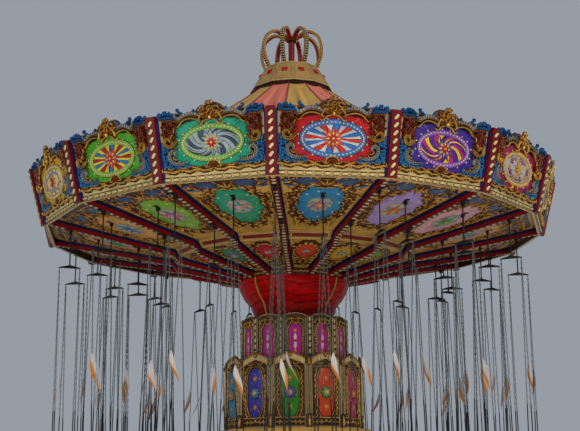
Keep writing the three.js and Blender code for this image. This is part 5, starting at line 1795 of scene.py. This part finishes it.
def pennant(pan, draw):
    """A pennant and its cord on a front chain: half-width = 0.065·sin(π·s^0.8), s down the cloth to 1."""
    s = np.linspace(0, 1, 19)[:, None]
    across = np.linspace(-1, 1, 5)
    half = PENNANT_WIDTH / 2 * np.sin(math.pi * np.clip(s, 0.02, 0.99) ** 0.8)
    white, orange = linear("#c9c6c4"), linear("#c8790f")
    head, foot = chain_path(-1, True, pan)
    top = PENNANT_TOP + draw.uniform(-0.25, 0.15)
    tie = head + (foot - head) * ((head[2] - (top - SEAT_HEIGHT + pan)) / (head[2] - foot[2]))
    lean, phase = draw.uniform(0.06, 0.3), draw.uniform(0, 2 * math.pi)
    turn = draw.uniform(-1.2, 1.2) * s + draw.uniform(0, 2 * math.pi)
    wave = 0.03 * np.sin(5 * s + phase) * s
    x = tie[0] + 0.022 + lean * s ** 1.5 + wave + half * across * np.cos(turn)
    y = tie[1] - 0.02 + 0.03 * np.sin(4 * s + phase) * s + half * across * np.sin(turn)
    front = np.stack(np.broadcast_arrays(x, y, tie[2] - PENNANT_LENGTH * s), axis=-1)
    lift = np.stack(np.broadcast_arrays(-np.sin(turn), np.cos(turn), 0 * turn), axis=-1) * 0.003
    share = np.clip((s + 0.3 * across - draw.uniform(0.35, 0.6)) * 6, 0, 1)[..., None]
    paint = white + (orange - white) * share
    both = np.concatenate([front, (front + lift)[:, ::-1]], axis=1)
    tint = np.concatenate([paint, paint[:, ::-1]], axis=1)
    flag, cord = Relief(), Relief()
    flag.grids(both, tint, loop=True)
    for row, step in ((0, -1), (-1, 1)):
        end = np.stack([both[row, :5], both[row, :4:-1]])
        flag.grids(end[:, ::step], np.stack([tint[row, :5], tint[row, :4:-1]])[:, ::step])
    rod(cord, tie + (0.0, 0.0, 0.01), front[0, 2] + (0.0, 0.0, -0.004), 0.004, white, 6)
    return flag, cord


def make_pennants():
    """White and orange pennants on all chairs' chains."""
    draw = np.random.default_rng(3)
    for ring, radius, on_beam in RINGS:
        pan = SEAT_HEIGHT - ring_pivot(radius, on_beam)
        for index, azimuth in enumerate(ring_azimuths(on_beam)):
            flag, cord = pennant(pan, draw)
            places = [chair_place(radius, on_beam, azimuth)]
            parts = [(repeated(flag, places), "flag"), (repeated(cord, places), "enamel")]
            name = f"{ring}_{index + 1:02d}"
            cloth = make_piece(f"pennant_{name}", parts, f"chair_{name}", (), 80)


# Stage

def make_camera():
    """The camera at the photograph's place and angle, with its slight roll."""
    data = bpy.data.cameras.new("camera")
    data.lens = CAMERA_LENS
    data.sensor_width = 36.0
    data.clip_end = 200.0
    camera = bpy.data.objects.new("camera", data)
    camera.location = CAMERA_PLACE
    turn = mathutils.Euler((math.radians(90 + CAMERA_PITCH), 0.0, 0.0)).to_matrix()
    roll = mathutils.Matrix.Rotation(math.radians(CAMERA_ROLL), 3, "Z")
    camera.rotation_euler = (turn @ roll).to_euler()
    bpy.context.scene.collection.objects.link(camera)
    bpy.context.scene.camera = camera


def make_light(name, place, target, size, power, colour):
    """A square area light at a place, aimed at a target."""
    data = bpy.data.lights.new(name, "AREA")
    data.energy = power
    data.size = size
    data.color = linear(colour)
    light = bpy.data.objects.new(name, data)
    light.location = place
    aim = mathutils.Vector(target) - mathutils.Vector(place)
    light.rotation_euler = aim.to_track_quat("-Z", "Y").to_euler()
    bpy.context.scene.collection.objects.link(light)


def make_stage(settings):
    """A pale floor and sky, two large lamps in front, one behind and one near the floor that shines up."""
    mesh = bpy.data.meshes.new("floor")
    size = 90.0
    mesh.from_pydata([(-size, -size, 0), (size, -size, 0), (size, size, 0), (-size, size, 0)], [],
                     [(0, 1, 2, 3)])
    floor = bpy.data.objects.new("floor", mesh)
    bpy.context.scene.collection.objects.link(floor)
    mesh.materials.append(painted("matt white floor", "#d9dadb", 0.8, "#c8c8c8", 0.2, 0.1, 0.0, bump=0.0))
    world = bpy.data.worlds.new("pale sky")
    world.use_nodes = True
    background = world.node_tree.nodes["Background"]
    background.inputs["Color"].default_value = rgba(settings.sky)
    background.inputs["Strength"].default_value = 0.52
    bpy.context.scene.world = world
    bpy.context.scene.view_settings.view_transform = "Standard"
    make_light("key", (13.0, -20.0, 17.0), (0.0, 0.0, 6.5), 9.0, 2300.0, "#fff0d8")
    make_light("fill", (-16.0, -20.0, 9.0), (0.0, 0.0, 6.0), 12.0, 1050.0, "#f4f4f4")
    make_light("back", (4.0, 22.0, 16.0), (0.0, 0.0, 7.0), 10.0, 1500.0, "#fff4e4")
    make_light("under", (0.0, -12.0, 0.3), (0.0, -12.0, 6.5), 8.0, 420.0, "#fff0dc")


# The add-on

class RideSettings(bpy.types.PropertyGroup):
    """Sizes and colours of the ride's dressing."""
    board: FloatVectorProperty(name="Board cream", description="Enamel of the rim boards", subtype="COLOR",
                               default=tuple(linear("#cfb97c")), min=0.0, max=1.0)
    cream: FloatVectorProperty(name="Cream", description="Enamel of the ceiling, crown and plinth",
                               subtype="COLOR", default=tuple(linear("#cca04e")), min=0.0, max=1.0)
    red: FloatVectorProperty(name="Red", description="Enamel of the beams, mullions and crown post",
                             subtype="COLOR", default=tuple(linear("#8e0a08")), min=0.0, max=1.0)
    canvas: FloatVectorProperty(name="Canvas", description="Pale gores of the roof", subtype="COLOR",
                                default=tuple(linear("#c79e56")), min=0.0, max=1.0)
    canvas_stripe: FloatVectorProperty(name="Canvas Stripe", description="Pink gores of the roof",
                                       subtype="COLOR", default=tuple(linear("#de7c68")), min=0.0, max=1.0)
    vinyl: FloatVectorProperty(name="Vinyl", description="Skirt under the canopy", subtype="COLOR",
                               default=tuple(linear("#b90504")), min=0.0, max=1.0)
    sky: FloatVectorProperty(name="Sky", description="Light from all round", subtype="COLOR",
                             default=tuple(linear("#c9d2dd")), min=0.0, max=1.0)
    lamp_radius: FloatProperty(name="Lamp Radius", description="Of the lamps round each medallion",
                               unit="LENGTH", default=0.02, min=0.01, max=0.04)
    link_pitch: FloatProperty(name="Link Pitch", description="Distance between the chains' links",
                              unit="LENGTH", default=0.07, min=0.04, max=0.2)
    roof_sag: FloatProperty(name="Roof Sag", description="Depth of each gore between its ridges",
                            unit="LENGTH", default=0.07, min=0.0, max=0.2)
    skirt_crease: FloatProperty(name="Skirt Crease", description="Height of the vinyl's creases",
                                unit="LENGTH", default=0.007, min=0.0, max=0.02)


class FinishesOperator(bpy.types.Operator):
    """Make the materials that the pieces share"""
    bl_idname = "swing_ride.finishes"
    bl_label = "Finishes"

    def execute(self, context):
        make_finishes(context.scene.swing_ride)
        return {"FINISHED"}


class CameraOperator(bpy.types.Operator):
    """Make the camera at the usual view"""
    bl_idname = "swing_ride.camera"
    bl_label = "Camera"

    def execute(self, context):
        make_camera()
        return {"FINISHED"}


class RimBoardsOperator(bpy.types.Operator):
    """Carve, gild and light the boards round the canopy"""
    bl_idname = "swing_ride.rim_boards"
    bl_label = "Rim Boards"

    def execute(self, context):
        make_rim_boards(context.scene.swing_ride)
        return {"FINISHED"}


class MullionsOperator(bpy.types.Operator):
    """Make the red cases over the boards' joints"""
    bl_idname = "swing_ride.mullions"
    bl_label = "Mullions"

    def execute(self, context):
        make_mullions(context.scene.swing_ride)
        return {"FINISHED"}


class CeilingOperator(bpy.types.Operator):
    """Paint and gild the panels under the canopy"""
    bl_idname = "swing_ride.ceiling"
    bl_label = "Ceiling"

    def execute(self, context):
        make_ceiling()
        return {"FINISHED"}


class BeamsOperator(bpy.types.Operator):
    """Dress the beams and hang the chairs' brackets"""
    bl_idname = "swing_ride.beams"
    bl_label = "Beams"

    def execute(self, context):
        make_beams()
        return {"FINISHED"}


class RoofOperator(bpy.types.Operator):
    """Spread the canvas roof"""
    bl_idname = "swing_ride.roof"
    bl_label = "Roof"

    def execute(self, context):
        make_roof(context.scene.swing_ride)
        return {"FINISHED"}


class CrownOperator(bpy.types.Operator):
    """Make the crown with its jewels, bulbs and fringe"""
    bl_idname = "swing_ride.crown"
    bl_label = "Crown"

    def execute(self, context):
        make_crown(context.scene.swing_ride)
        return {"FINISHED"}


class SkirtOperator(bpy.types.Operator):
    """Hang the vinyl skirt"""
    bl_idname = "swing_ride.skirt"
    bl_label = "Skirt"

    def execute(self, context):
        make_skirt(context.scene.swing_ride)
        return {"FINISHED"}


class DrumsOperator(bpy.types.Operator):
    """Carve the tower's two drums and its plinth"""
    bl_idname = "swing_ride.drums"
    bl_label = "Drums And Plinth"

    def execute(self, context):
        make_upper_drum()
        make_lower_drum()
        make_plinth()
        return {"FINISHED"}


class ChairsOperator(bpy.types.Operator):
    """Hang the three rings of chairs"""
    bl_idname = "swing_ride.chairs"
    bl_label = "Chairs"

    def execute(self, context):
        make_chairs(context.scene.swing_ride)
        return {"FINISHED"}


class PennantsOperator(bpy.types.Operator):
    """Tie a pennant to a chain of each chair"""
    bl_idname = "swing_ride.pennants"
    bl_label = "Pennants"

    def execute(self, context):
        make_pennants()
        return {"FINISHED"}


class StageOperator(bpy.types.Operator):
    """Make the floor, the sky and the lights"""
    bl_idname = "swing_ride.stage"
    bl_label = "Stage"

    def execute(self, context):
        make_stage(context.scene.swing_ride)
        return {"FINISHED"}


OPERATORS = (FinishesOperator, CameraOperator, RimBoardsOperator, MullionsOperator, CeilingOperator,
             BeamsOperator, RoofOperator, CrownOperator, SkirtOperator, DrumsOperator, ChairsOperator,
             PennantsOperator, StageOperator)


class RidePanel(bpy.types.Panel):
    """The ride's settings and steps."""
    bl_idname = "SWING_RIDE_PT_panel"
    bl_label = "Swing Ride"
    bl_space_type = "VIEW_3D"
    bl_region_type = "UI"
    bl_category = "Swing Ride"

    def draw(self, context):
        settings = context.scene.swing_ride
        for name in RideSettings.__annotations__:
            self.layout.prop(settings, name)
        for operator in OPERATORS:
            self.layout.operator(operator.bl_idname)


def register():
    """Adds the settings, the operators and the panel."""
    bpy.utils.register_class(RideSettings)
    for operator in OPERATORS:
        bpy.utils.register_class(operator)
    bpy.utils.register_class(RidePanel)
    bpy.types.Scene.swing_ride = PointerProperty(type=RideSettings)


def unregister():
    """Takes them away again."""
    del bpy.types.Scene.swing_ride
    bpy.utils.unregister_class(RidePanel)
    for operator in reversed(OPERATORS):
        bpy.utils.unregister_class(operator)
    bpy.utils.unregister_class(RideSettings)


def main():
    """Runs every step in order."""
    register()
    for operator in OPERATORS:
        group, name = operator.bl_idname.split(".")
        getattr(getattr(bpy.ops, group), name)()


if __name__ == "__main__":
    main()
